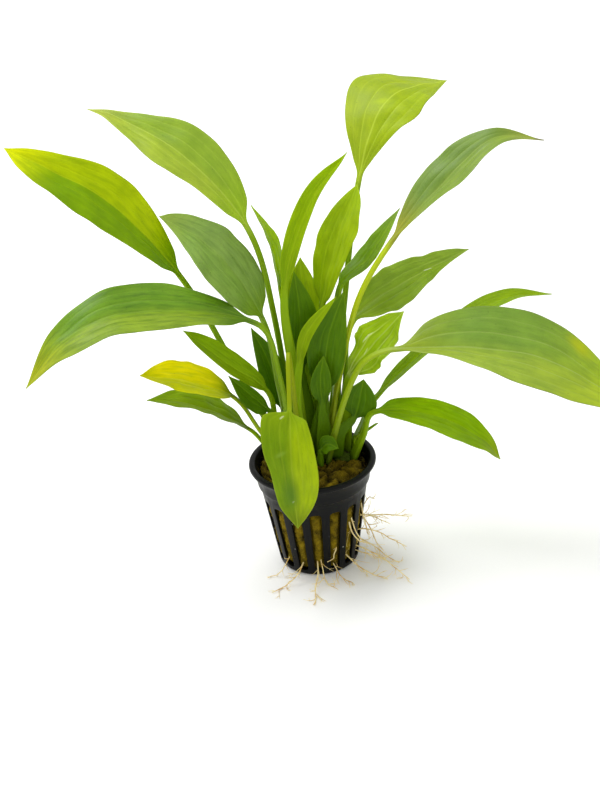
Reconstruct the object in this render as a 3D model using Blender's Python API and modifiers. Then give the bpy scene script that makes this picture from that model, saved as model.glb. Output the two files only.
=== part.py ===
"""A potted echinodorus: plantlets of a broad-leaved water plant, rooted in mineral wool in a black net pot.

The pot stands on the floor at the origin, +Z is up and the photograph was taken from -Y. Sizes are in millimetres
here and become metres where a mesh is made.
"""
import math
from dataclasses import dataclass

import bmesh
import bpy
from mathutils import Matrix, Vector
from mathutils.geometry import interpolate_bezier

MM = 0.001
FULL_TURN = 2 * math.pi
UP = Vector((0, 0, 1))
SHARP_ANGLE = math.radians(35)

# Net pot
POT_HEIGHT = 48.0
FLOOR_RADIUS = 16.8
SHOULDER_RADIUS = 22.8
SHOULDER_HEIGHT = 38.5
COLLAR_STEP = 1.0
COLLAR_TOP_RADIUS = 25.4
LIP_RADIUS = 26.8
LIP_HEIGHT = 2.0
LIP_ROUNDING = 0.5
WALL = 1.2
FLOOR_THICKNESS = 1.6
FLOOR_ROUNDING = 1.4
POT_SIDES = 48
SLOT_COUNT = 16
SLOT_FIRST_ANGLE = -92.0
SLOT_BOTTOM = 2.6
SLOT_TOP = 33.0
SLOT_WIDTH_BOTTOM = 3.9
SLOT_WIDTH_TOP = 5.0
SLOT_ROUNDING = 1.2
CUTTER_REACH = 2.5
FLOOR_SLOT_COUNT = 8
FLOOR_SLOT_INNER = 6.5
FLOOR_SLOT_OUTER = 13.0
FLOOR_SLOT_WIDTH = 3.4

# Mineral wool
GAP = 0.3
WOOL_MOUND_TOP = 44.0
WOOL_MOUND_RADIUS = 20.0
WOOL_EDGE_TOP = 40.5
WOOL_INSET = 0.4
WOOL_ROUNDING = 1.5
WOOL_LUMP = 0.8
WOOL_SIDES = 20

# Roots
ROOT_POINTS = 6
ROOT_WAVE = 0.8
ROOT_WAVE_TURNS = 1.4
ROOT_TIP = 0.5
ROOT_CLEARANCE = 0.1

# Crowns and leaves
CROWN_RADIUS = 2.4
CROWN_RISE = 3.6
CROWN_SIDES = 8
SEAT_RADIUS = 4.4
SPAN_STEPS = 12
STALK_STATIONS = 4
BENT_STALK_STATIONS = 6
STALK_AT_NECK = 0.8
STALK_FLARE = 0.3
STALK_CORNER = 0.7
BLADE_STATIONS = 10
SMALL_BLADE_STATIONS = 7
SMALL_BLADE_WIDTH = 14.0
BLADE_CORNER = 0.55
BLADE_START = 0.12
BLADE_THICKNESS = 0.5
TIP_THICKNESS = 0.3
OUTLINE_POWER = 1.8
RUFFLE_WAVES = 2.5

CROWNS = {
    "left": (-8, 6),
    "back_left": (-3, 15),
    "front": (2, 5),
    "back_right": (7.5, 14),
    "right": (13.5, 6),
}


@dataclass(frozen=True)
class Leaf:
    """One leaf: the crown that it grows from and the line that it follows out and up from there."""

    name: str
    crown: str
    seat: float             # where its stalk stands around the crown, degrees from +X towards +Y
    heading: float          # which way it leans out, degrees from +X towards +Y
    neck: tuple             # out and up, from the foot, of the place where the stalk becomes the blade
    crest: tuple            # out and up of the middle of the blade
    tip: tuple              # out and up of the blade's tip
    width: float            # widest part of the blade
    roll: float = 0.0       # tilt of the blade about its midrib, degrees
    turn: float = 0.0       # sideways curve from neck to tip, degrees
    fold: float = 12.0      # slope of each half of the blade up from the midrib, degrees
    ruffle: float = 0.0     # height of the waves along the margins
    widest: float = 0.42    # where the blade is widest, as a share of its length
    left: tuple = ()        # half-widths left of the midrib, each after its per cent of the blade's length
    right: tuple = ()       # the same, right of the midrib, as seen from above and towards the tip
    by: tuple = None        # out and up of a point that the stalk passes, where it isn't straight
    bend: tuple = None      # out and up of a point between crest and tip, where that stretch curves
    stalk: float = 2.6      # thickness of the stalk
    colour: tuple = (0.16, 0.33, 0.02)


LIT = (0.27, 0.42, 0.02)
MID = (0.15, 0.30, 0.02)
DARK = (0.06, 0.15, 0.01)
GREY = (0.17, 0.28, 0.07)
YELLOW = (0.55, 0.55, 0.02)

LEAVES = (
    Leaf("upper_left_leaf", "back_left", 150, 146, (14, 143), (42, 170), (90, 185), 25, roll=-24,
         left=((10, 4.5), (30, 8), (50, 11.5), (70, 8), (85, 4)),
         right=((10, 6), (30, 12), (50, 13), (70, 7.5), (85, 2.5)), by=(5, 106), bend=(77, 184), colour=LIT),
    Leaf("far_left_folded_leaf", "left", 118, 172, (37, 128), (62, 161), (102, 186), 23, roll=-25, fold=14,
         left=((10, 6), (20, 9.5), (40, 15.5), (55, 17), (75, 13), (90, 8)),
         right=((10, 4.5), (20, 7.5), (40, 12), (50, 12.5), (70, 10), (90, 4.5)), bend=(86, 177), colour=LIT),
    Leaf("mid_left_leaf", "left", 75, 166, (9, 108), (27, 139), (48, 153), 28, roll=-20,
         left=((10, 8), (25, 14), (45, 17.5), (60, 16.5), (75, 10.5), (90, 3.5)),
         right=((10, 6), (25, 10.5), (50, 12), (70, 9.5), (85, 7), (95, 3.5)), colour=GREY),
    Leaf("long_left_leaf", "left", 275, 192, (11, 113), (63, 127), (105, 102), 29, roll=-22,
         left=((10, 6.5), (20, 9.5), (40, 13), (60, 13.5), (75, 10.5), (90, 4.5)),
         right=((10, 5), (20, 8.5), (40, 13), (60, 11.5), (80, 7), (92, 3)), by=(3, 88), bend=(88, 119),
         colour=MID),
    Leaf("narrow_left_leaf", "left", 158, 186, (4, 77), (20, 93), (36, 110), 13, roll=-35,
         left=((10, 3), (30, 4.5), (60, 4), (85, 2.5)), right=((10, 3), (30, 5.5), (60, 6), (85, 3.5)),
         stalk=2, colour=MID),
    Leaf("yellow_leaf", "left", 228, 200, (20, 82), (38, 94), (58, 102), 19, roll=-15,
         left=((20, 8.5), (45, 11), (70, 9.5), (90, 4)),
         right=((10, 5), (20, 8), (40, 10.5), (60, 10), (80, 7)), stalk=2, colour=YELLOW),
    Leaf("leaf_under_yellow_leaf", "left", 193, 192, (13, 63), (35, 79), (54, 85), 24, stalk=2, colour=MID),
    Leaf("small_dark_left_leaf", "front", 120, 200, (17, 70.5), (25.5, 81), (33, 91), 15, roll=-42,
         left=((15, 5), (45, 8), (75, 6.5)), right=((15, 2.5), (45, 3.5), (75, 2)), stalk=2, colour=DARK),
    Leaf("back_narrow_leaf", "back_left", 95, 125, (7, 115), (12, 136), (23, 148), 15, roll=40, colour=LIT),
    Leaf("upright_narrow_leaf", "back_left", 265, 55, (-4, 123), (18, 151), (49, 163), 11, roll=50,
         left=((10, 3), (30, 5), (50, 5.3), (75, 3.5)), right=((15, 2.5), (40, 2.5), (70, 1.5), (90, 0.8)),
         colour=LIT),
    Leaf("upright_wide_leaf", "back_right", 150, 40, (7, 107), (18, 134), (31, 154), 19, widest=0.5,
         right=((10, 4.5), (30, 8), (50, 10.5), (65, 11.5), (80, 9), (92, 5)), colour=LIT),
    Leaf("top_leaf", "back_right", 90, 48, (31, 153), (51, 182), (86, 181.5), 38, roll=12, turn=-12, fold=-5,
         left=((10, 3.5), (30, 12.5), (50, 20.5), (62, 22), (75, 15), (90, 8)),
         right=((10, 2.5), (30, 9.5), (50, 15.5), (62, 14), (75, 10), (90, 4)), colour=LIT),
    Leaf("upper_right_leaf", "back_right", 250, 10, (33, 136), (58, 160), (98, 170), 25, roll=18,
         left=((10, 3.5), (30, 9.5), (45, 11), (60, 9), (78, 4), (92, 1.2)),
         right=((10, 2), (30, 5), (48, 9), (62, 8), (78, 5.5), (90, 2)), by=(16.5, 109), bend=(78, 174),
         colour=GREY),
    Leaf("leaf_behind_upper_right_leaf", "back_right", 45, 30, (7, 115), (21, 124), (39, 142), 12, colour=MID),
    Leaf("mid_right_leaf", "back_right", 5, 28, (10.5, 100), (36, 110.5), (70, 116.5), 24, roll=26,
         left=((10, 4), (30, 8.5), (50, 9.5), (65, 7), (80, 5.3), (92, 3)),
         right=((10, 6), (25, 10.5), (40, 10.5), (55, 8), (70, 4.3), (85, 1.8)), colour=GREY),
    Leaf("crinkled_right_leaf", "right", 90, 6, (5, 80), (16, 93), (29, 106), 20, roll=40, ruffle=1.5,
         left=((10, 2.5), (30, 6.5), (50, 8.8), (70, 7), (85, 4)), colour=LIT),
    Leaf("long_right_leaf", "front", 330, 350, (30.5, 97), (83, 95), (133, 65), 35, roll=26,
         left=((8, 7.5), (18, 14.5), (30, 18.5), (45, 18.5), (60, 16), (75, 10.5), (90, 5)),
         right=((10, 3), (20, 5.5), (32, 11.5), (45, 17), (55, 18), (65, 16.5), (78, 12), (90, 6.5)),
         by=(16, 88), bend=(113, 80), colour=LIT),
    Leaf("narrow_right_leaf", "right", 45, 10, (11, 67), (46, 95), (90, 103), 15,
         left=((10, 3.5), (30, 5), (50, 4.5), (70, 7), (85, 5)), right=((20, 6), (45, 8), (70, 7), (90, 3)),
         bend=(71, 104.5), colour=MID),
    Leaf("lower_right_leaf", "right", 325, 355, (10, 66), (33, 64), (62, 41), 17, roll=20,
         left=((10, 4), (30, 6.7), (50, 8), (65, 8), (80, 5.2), (92, 2.8)),
         right=((10, 5), (30, 8.8), (50, 10.5), (65, 10), (80, 7.2), (92, 3.8)), bend=(55, 51), colour=LIT),
    Leaf("front_leaf", "left", 315, 265, (30, 86.5), (41, 69.5), (38, 36), 22.5,
         left=((7, 5.3), (16, 7.5), (26, 9), (37, 10), (50, 10.5), (62, 9.8), (74, 8), (88, 4.2)),
         right=((2, 9), (8, 11.5), (15, 11.8), (30, 10.6), (45, 8.5), (68, 7), (79, 5.6), (89, 3.2)),
         by=(14, 103), stalk=2.2, colour=LIT),
    Leaf("crown_leaflet", "front", 285, 328, (1, 51), (5, 55), (9.5, 54), 8, roll=55, stalk=2, colour=MID),
    Leaf("cut_stalk", "right", 5, 5, (1, 52), (6, 55), (11, 58), 1.6, stalk=1.6, colour=MID),
    Leaf("short_dark_right_leaf", "right", 190, 10, (10, 62), (13.5, 73), (15, 79), 15, roll=75, by=(3, 55),
         stalk=2, colour=DARK),
    Leaf("inner_right_leaf", "front", 85, 8, (5, 73), (8, 97), (16, 118), 16, roll=80, colour=DARK),
    Leaf("inner_short_leaf", "front", 25, 180, (0, 70), (0, 81), (-2, 92), 9, roll=-80, stalk=2, colour=DARK),
    Leaf("inner_curved_leaf", "front", 188, 10, (0.5, 91), (4.5, 104), (17.5, 118), 5, roll=70, by=(-2.5, 70),
         colour=LIT),
    Leaf("inner_left_leaf", "back_left", 185, 165, (3, 64), (8, 87), (14, 102), 11, roll=-70, stalk=2,
         colour=DARK),
    Leaf("back_pale_leaf", "back_left", 35, 85, (5, 96), (10, 112), (14, 126), 14, colour=LIT),
    Leaf("inner_middle_leaf", "back_left", 330, 115, (6, 80), (3, 108), (5, 126), 16, colour=MID),
)


@dataclass(frozen=True)
class Root:
    """One root strand: the slot that it leaves the pot by, and how it runs from there."""

    name: str
    slot: int               # which slot, counted from the front towards +X
    height: float           # where it passes the slot
    reach: float            # how far it runs out
    drift: float            # how far it has moved sideways at its end
    end: float              # height of its end
    arch: float = 0.0       # how far its middle stands above a straight line
    aside: float = 0.0      # how far from the middle of the slot it passes
    thickness: float = 0.6


ROOTS = (
    Root("upper_right_root", 3, 23, 21, 9, 21, arch=2),
    Root("hooked_right_root", 3, 15, 19, 8, 5, arch=6, aside=0.9),
    Root("long_right_root", 3, 8, 27, -7, 0.6, arch=2, aside=-0.9),
    Root("right_slot_root", 4, 19, 9, -6, 3, arch=3),
    Root("right_floor_root", 4, 7, 17, -12, 0.6),
    Root("front_right_root", 2, 26, 5, 6, 12, arch=1, aside=0.9),
    Root("front_right_floor_root", 2, 7, 20, 5, 0.6, aside=-0.8),
    Root("front_slot_root", 1, 14, 2.4, -5, 9, arch=0.5, aside=0.6),
    Root("front_floor_root", 0, 7.6, 22, -3, 0.6, aside=-0.7),
    Root("front_short_root", 0, 8.4, 12, 6, 0.6, aside=0.8, thickness=0.5),
    Root("left_floor_root", -1, 7, 17, -9, 0.6),
    Root("left_short_root", -2, 8, 11, -4, 0.6, thickness=0.5),
    Root("slot_side_root", 3, 29, 2.6, 1, 13, arch=0.5, aside=1.2, thickness=0.7),
    Root("crossing_slot_root", 2, 25, 3.6, 7, 13, arch=0.5, aside=-0.6, thickness=0.7),
    Root("rising_right_root", 4, 22, 6, -4, 29, aside=-1, thickness=0.5),
    Root("arched_right_root", 4, 15, 13, 5, 9, arch=5, aside=1, thickness=0.5),
    Root("low_right_root", 3, 4.5, 13, 3, 0.6, arch=1, aside=0.6, thickness=0.5),
    Root("front_middle_root", 1, 5, 13, 4, 0.6, aside=-0.6, thickness=0.5),
)


def material(name, colour, roughness):
    """A plain surface of one colour."""
    made = bpy.data.materials.new(name)
    made.use_nodes = True
    surface = made.node_tree.nodes["Principled BSDF"]
    surface.inputs["Base Color"].default_value = (*colour, 1)
    surface.inputs["Roughness"].default_value = roughness
    surface.inputs["Metallic"].default_value = 0
    return made


def node(name, mesh, colour, roughness, collection):
    """An object of the mesh, in its own collection and with its own material."""
    made = bpy.data.objects.new(name, mesh)
    collection.objects.link(made)
    mesh.shade_smooth()
    mesh.set_sharp_from_angle(angle=SHARP_ANGLE)
    mesh.materials.clear()
    mesh.materials.append(material(name + "_surface", colour, roughness))
    return made


def loft(name, rings):
    """A closed mesh through rings of equal length, its first and last ring filled."""
    mesh = bpy.data.meshes.new(name)
    build = bmesh.new()
    loops = [[build.verts.new(Vector(point) * MM) for point in ring] for ring in rings]
    for lower, upper in zip(loops, loops[1:]):
        for here in range(len(lower)):
            there = (here + 1) % len(lower)
            build.faces.new((lower[here], lower[there], upper[there], upper[here]))
    build.faces.new(reversed(loops[0]))
    build.faces.new(loops[-1])
    bmesh.ops.recalc_face_normals(build, faces=build.faces)
    build.to_mesh(mesh)
    build.free()
    return mesh


def smooth_line(points, steps=SPAN_STEPS):
    """Points along a smooth curve through the given ones."""
    line = []
    for here in range(len(points) - 1):
        start, end = points[here], points[here + 1]
        reach = (end - start).length / 3
        into = (end - points[max(here - 1, 0)]).normalized()
        out = (points[min(here + 2, len(points) - 1)] - start).normalized()
        span = interpolate_bezier(start, start + into * reach, end - out * reach, end, steps + 1)
        line.extend(span[:-1])
    return line + [points[-1].copy()]


def leaf_foot(leaf):
    """The middle of the stalk's foot, on the mound of wool."""
    around = math.radians(leaf.seat)
    x, y = CROWNS[leaf.crown]
    return Vector((x + SEAT_RADIUS * math.cos(around), y + SEAT_RADIUS * math.sin(around), WOOL_MOUND_TOP + GAP))


def leaf_line(leaf):
    """Points along the leaf from foot to tip, each with its heading, and the number of the one at the neck."""
    foot = leaf_foot(leaf)
    base, neck = Vector((0, foot.z)), Vector(leaf.neck)
    middle = Vector(leaf.by) if leaf.by else (base + neck) / 2
    beyond = [Vector(point) for point in (leaf.crest, leaf.bend, leaf.tip) if point]
    flat = smooth_line([point.to_3d() for point in (base, middle, neck, *beyond)])
    neck_at = 2 * SPAN_STEPS
    place, line = foot.copy(), []
    for here, point in enumerate(flat):
        past = max(0, here - neck_at) / (len(flat) - 1 - neck_at)
        heading = math.radians(leaf.heading + leaf.turn * past)
        if here:
            step = point - flat[here - 1]
            place = place + Vector((step.x * math.cos(heading), step.x * math.sin(heading), step.y))
        line.append((place, heading))
    return line, neck_at


def resample(line, count):
    """The line's places, headings and directions at equal distances along it."""
    reach = [0.0]
    for (here, _), (there, _) in zip(line, line[1:]):
        reach.append(reach[-1] + (there - here).length)
    picked = []
    for number in range(count):
        wanted = reach[-1] * number / (count - 1)
        after = next((k for k in range(1, len(reach)) if reach[k] >= wanted - 1e-9), len(reach) - 1)
        part = (wanted - reach[after - 1]) / (reach[after] - reach[after - 1])
        (here, turn), (there, turned) = line[after - 1], line[after]
        picked.append((here.lerp(there, part), turn + (turned - turn) * part, (there - here).normalized()))
    return picked


def half_width(leaf, past, way):
    """Half-width of a blade at a share of its length, left (1) or right (-1) of the midrib."""
    given = leaf.left if way > 0 else leaf.right
    if not given:
        base, tip = OUTLINE_POWER * leaf.widest, OUTLINE_POWER * (1 - leaf.widest)
        return leaf.width / 2 * (past / leaf.widest) ** base * ((1 - past) / (1 - leaf.widest)) ** tip
    margin = smooth_line([Vector((*point, 0)) for point in ((0, 0), *given, (100, 0))])
    after = next(k for k in range(1, len(margin)) if margin[k].x >= 100 * past - 1e-6)
    before = margin[after - 1]
    return before.lerp(margin[after], (100 * past - before.x) / (margin[after].x - before.x)).y


def leaf_ring(leaf, place, heading, forward, along):
    """Eight points around the leaf: margin, upper side, margin and under side. Along is below 0 on the stalk."""
    past = max(along, 0)
    taper = 1 - past
    side = UP.cross(Vector((math.cos(heading), math.sin(heading), 0)))
    side = (side - forward * side.dot(forward)).normalized()
    side = Matrix.Rotation(math.radians(leaf.roll), 3, forward) @ side
    above = forward.cross(side)
    spread = min(past / BLADE_START, 1)
    stalk = leaf.stalk / 2 * (STALK_AT_NECK + STALK_FLARE * max(-along, 0) ** 2)
    rib = stalk * taper * STALK_AT_NECK + TIP_THICKNESS / 2 if past else stalk
    corner = STALK_CORNER + (BLADE_CORNER - STALK_CORNER) * spread
    thick = stalk * STALK_CORNER * (1 - spread) + BLADE_THICKNESS / 2 * spread
    slope = math.tan(math.radians(leaf.fold)) * spread
    wave = leaf.ruffle * math.sin(FULL_TURN * RUFFLE_WAVES * past) * 4 * past * taper
    upper = [(1, 0), (corner, 1), (0, 1), (-corner, 1)]
    ring = []
    for across, over in upper + [(-across, -over) for across, over in upper]:
        half = math.hypot(half_width(leaf, past, across), stalk * taper + 0.7 * BLADE_THICKNESS * past)
        lift = abs(across) * (half * slope + wave) + over * (thick if across else rib)
        ring.append(place + side * (half * across) + above * lift)
    return ring


def leaf_mesh(leaf):
    """Stalk and blade of one leaf as one closed mesh."""
    line, neck_at = leaf_line(leaf)
    stalk = resample(line[:neck_at + 1], BENT_STALK_STATIONS if leaf.by else STALK_STATIONS)
    blade = resample(line[neck_at:], SMALL_BLADE_STATIONS if leaf.width <= SMALL_BLADE_WIDTH else BLADE_STATIONS)
    rings = []
    for number, (place, heading, forward) in enumerate(stalk[:-1]):
        forward = forward if number else UP
        rings.append(leaf_ring(leaf, place, heading, forward, number / (len(stalk) - 1) - 1))
    for number, (place, heading, forward) in enumerate(blade):
        rings.append(leaf_ring(leaf, place, heading, forward, number / (len(blade) - 1)))
    return loft(leaf.name, rings)


def modifier(made, kind, **settings):
    """Adds a modifier with the given settings."""
    added = made.modifiers.new(kind.title(), kind)
    for setting, value in settings.items():
        setattr(added, setting, value)
    return added


def applied(made):
    """The object's mesh with its modifiers applied and its doubled corners joined."""
    depsgraph = bpy.context.evaluated_depsgraph_get()
    mesh = bpy.data.meshes.new_from_object(made.evaluated_get(depsgraph))
    build = bmesh.new()
    build.from_mesh(mesh)
    bmesh.ops.remove_doubles(build, verts=build.verts, dist=0.00001)
    bmesh.ops.recalc_face_normals(build, faces=build.faces)
    build.to_mesh(mesh)
    build.free()
    return mesh


def turned(name, profile, sides, collection):
    """A closed solid of revolution from a profile of radii and heights that starts and ends on the axis."""
    mesh = bpy.data.meshes.new(name + "_profile")
    points = [(radius * MM, 0, height * MM) for radius, height in profile]
    mesh.from_pydata(points, [(k, k + 1) for k in range(len(points) - 1)], [])
    outline = bpy.data.objects.new(name + "_profile", mesh)
    collection.objects.link(outline)
    modifier(outline, "SCREW", angle=FULL_TURN, steps=sides, render_steps=sides, use_merge_vertices=True,
             merge_threshold=0.0001, use_normal_calculate=True)
    made = applied(outline)
    bpy.data.objects.remove(outline)
    made.name = name
    return made


def wall_radius(height):
    """Outer radius of the pot's tapered wall at a height below its shoulder."""
    return FLOOR_RADIUS + (SHOULDER_RADIUS - FLOOR_RADIUS) * height / SHOULDER_HEIGHT


def inner_radius(height):
    """Inner radius of the pot at a height."""
    if height < SHOULDER_HEIGHT:
        return wall_radius(height) - WALL
    shoulder, top = SHOULDER_RADIUS - WALL, COLLAR_TOP_RADIUS - WALL
    return shoulder + (top - shoulder) * (height - SHOULDER_HEIGHT) / (POT_HEIGHT - SHOULDER_HEIGHT)


def pot_profile():
    """The pot's outline from the middle of its floor, up the outside, over the lip and down the inside."""
    collar = SHOULDER_RADIUS + COLLAR_STEP
    lip_under = POT_HEIGHT - LIP_HEIGHT
    return (
        (0, 0),
        (FLOOR_RADIUS - FLOOR_ROUNDING, 0),
        (FLOOR_RADIUS - FLOOR_ROUNDING * 0.3, FLOOR_ROUNDING * 0.3),
        (wall_radius(FLOOR_ROUNDING), FLOOR_ROUNDING),
        (SHOULDER_RADIUS, SHOULDER_HEIGHT),
        (collar, SHOULDER_HEIGHT + LIP_ROUNDING),
        (COLLAR_TOP_RADIUS, lip_under - LIP_ROUNDING),
        (LIP_RADIUS - LIP_ROUNDING, lip_under),
        (LIP_RADIUS, lip_under + LIP_ROUNDING),
        (LIP_RADIUS, POT_HEIGHT - LIP_ROUNDING),
        (LIP_RADIUS - LIP_ROUNDING, POT_HEIGHT),
        (COLLAR_TOP_RADIUS - WALL + LIP_ROUNDING, POT_HEIGHT),
        (inner_radius(POT_HEIGHT - LIP_ROUNDING), POT_HEIGHT - LIP_ROUNDING),
        (inner_radius(SHOULDER_HEIGHT), SHOULDER_HEIGHT),
        (inner_radius(FLOOR_THICKNESS), FLOOR_THICKNESS),
        (0, FLOOR_THICKNESS),
    )


def cutter_block(build, angle, near, far, low, high, half_low, half_high, rounded_along, rounding):
    """Adds a block that stands radially at an angle, its edges along one axis bevelled."""
    corners = bmesh.ops.create_cube(build, size=2)["verts"]
    for corner in corners:
        out, across, up = corner.co
        half = half_high if up > 0 else half_low
        corner.co = Vector((near if out < 0 else far, across * half, low if up < 0 else high)) * MM
    edges = {edge for corner in corners for edge in corner.link_edges}
    along = [edge for edge in edges if runs_along(edge, rounded_along)]
    before = set(build.verts) - set(corners)
    bmesh.ops.bevel(build, geom=along, offset=rounding * MM, segments=1, affect="EDGES")
    added = [corner for corner in build.verts if corner not in before]
    bmesh.ops.rotate(build, verts=added, matrix=Matrix.Rotation(math.radians(angle), 3, "Z"))


def runs_along(edge, axis):
    """Whether an edge runs mostly along X (0) or Z (2)."""
    span = edge.verts[0].co - edge.verts[1].co
    return abs(span[axis]) > 0.9 * span.length


def build_pot(parts, cutters):
    """The net pot with its slots cut."""
    cutter_mesh = bpy.data.meshes.new("slot_cutters")
    build = bmesh.new()
    for number in range(SLOT_COUNT):
        angle = SLOT_FIRST_ANGLE + number * 360 / SLOT_COUNT
        cutter_block(build, angle, FLOOR_RADIUS - WALL - CUTTER_REACH, COLLAR_TOP_RADIUS, SLOT_BOTTOM, SLOT_TOP,
                     SLOT_WIDTH_BOTTOM / 2, SLOT_WIDTH_TOP / 2, 0, SLOT_ROUNDING)
    for number in range(FLOOR_SLOT_COUNT):
        angle = SLOT_FIRST_ANGLE + number * 360 / FLOOR_SLOT_COUNT
        cutter_block(build, angle, FLOOR_SLOT_INNER, FLOOR_SLOT_OUTER, -CUTTER_REACH,
                     FLOOR_THICKNESS + CUTTER_REACH, FLOOR_SLOT_WIDTH / 2, FLOOR_SLOT_WIDTH / 2, 2, SLOT_ROUNDING)
    build.to_mesh(cutter_mesh)
    build.free()
    cutter = bpy.data.objects.new("slot_cutters", cutter_mesh)
    cutter.hide_render = True
    cutter.display_type = "WIRE"
    cutters.objects.link(cutter)
    pot = node("net_pot", turned("net_pot", pot_profile(), POT_SIDES, parts), (0.012, 0.012, 0.014), 0.42, parts)
    modifier(pot, "BOOLEAN", operation="DIFFERENCE", solver="EXACT", object=cutter)
    return pot


def wool_rings():
    """Rings of the wool plug from its underside to the top of its mound, lumpy where it shows."""
    bottom = FLOOR_THICKNESS + GAP
    edge = inner_radius(WOOL_EDGE_TOP) - WOOL_INSET
    mound = WOOL_MOUND_TOP - WOOL_LUMP
    levels = [(inner_radius(bottom) - WOOL_INSET - WOOL_ROUNDING, bottom, 0)]
    for height in (bottom + WOOL_ROUNDING, SHOULDER_HEIGHT / 3, SHOULDER_HEIGHT * 2 / 3, SHOULDER_HEIGHT):
        levels.append((inner_radius(height) - WOOL_INSET, height, 0))
    levels += [(edge, WOOL_EDGE_TOP, 0), (edge - WOOL_LUMP, WOOL_EDGE_TOP + WOOL_ROUNDING, 1),
               (WOOL_MOUND_RADIUS, mound, 0.5), (WOOL_MOUND_RADIUS - WOOL_ROUNDING, WOOL_MOUND_TOP, 0)]
    for radius, height, lump in levels:
        ring = []
        for number in range(WOOL_SIDES):
            around = FULL_TURN * number / WOOL_SIDES
            rise = lump * WOOL_LUMP * (math.sin(5 * around) + 0.6 * math.sin(11 * around + 1)) / 2
            out = radius - WOOL_LUMP / 2 * lump * abs(math.sin(4 * around + 2))
            ring.append((out * math.cos(around), out * math.sin(around), height + rise))
        yield ring


def crown_mesh(name, x, y):
    """The short rootstock of one plantlet, rounded at its top."""
    shares = ((0, 0), (0.9, 0), (1, 0.25), (0.85, 0.7), (0.45, 0.95), (0, 1))
    profile = [(radius * CROWN_RADIUS, height * CROWN_RISE) for radius, height in shares]
    mesh = turned(name, profile, CROWN_SIDES, bpy.context.scene.collection)
    mesh.transform(Matrix.Translation(Vector((x, y, WOOL_MOUND_TOP + GAP)) * MM))
    return mesh


def root_line(root):
    """Points along a root, from inside its slot outwards and down to just above the floor at the lowest."""
    angle = math.radians(SLOT_FIRST_ANGLE + root.slot * 360 / SLOT_COUNT)
    out = Vector((math.cos(angle), math.sin(angle), 0))
    side = UP.cross(out)
    start = inner_radius(root.height) + GAP / 2
    lowest = root.thickness / 2 + ROOT_CLEARANCE
    line = []
    for number in range(ROOT_POINTS):
        part = number / (ROOT_POINTS - 1)
        height = root.height + (root.end - root.height) * min(1, 1.5 * part) + root.arch * 4 * part * (1 - part)
        wave = ROOT_WAVE * math.sin(FULL_TURN * ROOT_WAVE_TURNS * part + root.slot)
        aside = root.aside + root.drift * part ** 2 + wave * part
        line.append(out * (start + root.reach * part) + side * aside + UP * max(height, lowest))
    line.insert(1, line[0] + out * (WALL + GAP))
    return line


def root_mesh(root, collection):
    """The strand as a closed tube, thinner towards its end."""
    curve = bpy.data.curves.new(root.name, "CURVE")
    curve.dimensions = "3D"
    curve.bevel_depth = root.thickness / 2 * MM
    curve.bevel_resolution = 0
    curve.use_fill_caps = True
    line = root_line(root)
    spline = curve.splines.new("POLY")
    spline.points.add(len(line) - 1)
    for number, (point, place) in enumerate(zip(spline.points, line)):
        point.co = (*(place * MM), 1)
        point.radius = 1 - ROOT_TIP * number / len(line)
    strand = bpy.data.objects.new(root.name, curve)
    collection.objects.link(strand)
    mesh = applied(strand)
    bpy.data.objects.remove(strand)
    mesh.name = root.name
    return mesh


def clear_scene():
    """Removes what a new file holds."""
    for made in list(bpy.data.objects):
        bpy.data.objects.remove(made)


def main():
    """Builds the pot, the wool, the crowns, the leaves and the roots."""
    clear_scene()
    parts = bpy.data.collections.new("potted_echinodorus")
    cutters = bpy.data.collections.new("cutters")
    for collection in (parts, cutters):
        bpy.context.scene.collection.children.link(collection)
    cutters.hide_render = True
    build_pot(parts, cutters)
    node("wool_plug", loft("wool_plug", list(wool_rings())), (0.07, 0.055, 0.015), 0.95, parts)
    for name, (x, y) in CROWNS.items():
        node(name + "_crown", crown_mesh(name + "_crown", x, y), (0.16, 0.2, 0.05), 0.6, parts)
    for leaf in LEAVES:
        node(leaf.name, leaf_mesh(leaf), leaf.colour, 0.4, parts)
    for root in ROOTS:
        node(root.name, root_mesh(root, parts), (0.62, 0.5, 0.3), 0.6, parts)


main()
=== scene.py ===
"""Visual model of a potted echinodorus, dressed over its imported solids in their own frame.

Sizes in this file are millimetres and become metres where a mesh is made. The pot stands on the floor at the
origin, +Z is up, and the camera looks from -Y.
"""

import logging
import math
from dataclasses import dataclass, field
from enum import Enum
from typing import Optional, Sequence, Union

import bmesh
import bpy
import numpy as np
from mathutils import Matrix, Vector, noise
from mathutils.geometry import interpolate_bezier


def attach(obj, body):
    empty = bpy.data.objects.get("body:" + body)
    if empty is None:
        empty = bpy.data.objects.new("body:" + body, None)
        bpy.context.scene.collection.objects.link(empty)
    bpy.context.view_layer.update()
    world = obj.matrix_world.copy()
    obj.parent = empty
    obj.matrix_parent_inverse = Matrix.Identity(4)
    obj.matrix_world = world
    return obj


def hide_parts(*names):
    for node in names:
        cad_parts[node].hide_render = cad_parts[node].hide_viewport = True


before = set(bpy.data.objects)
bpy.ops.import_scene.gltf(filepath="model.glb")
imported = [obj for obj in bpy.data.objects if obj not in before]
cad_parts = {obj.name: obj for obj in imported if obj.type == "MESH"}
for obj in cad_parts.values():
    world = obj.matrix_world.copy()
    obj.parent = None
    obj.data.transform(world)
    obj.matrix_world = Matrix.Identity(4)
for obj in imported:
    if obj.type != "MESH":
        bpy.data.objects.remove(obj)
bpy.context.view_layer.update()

LOG = logging.getLogger("echinodorus")
MM = 0.001
FULL_TURN = 2 * math.pi
UP = Vector((0, 0, 1))
Colour = tuple[float, float, float, float]
Span = tuple[float, float]
Outline = tuple[Span, ...]
Socket = Union[bpy.types.NodeSocket, float, tuple]

# What a Mix node for colours is set to, and its inputs: the share of the second colour, and the two colours.
COLOURS = {"data_type": "RGBA", "output": 2}
SHARE, UNDER, OVER = 0, 6, 7
SOFT = {"interpolation_type": "SMOOTHSTEP"}


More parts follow.
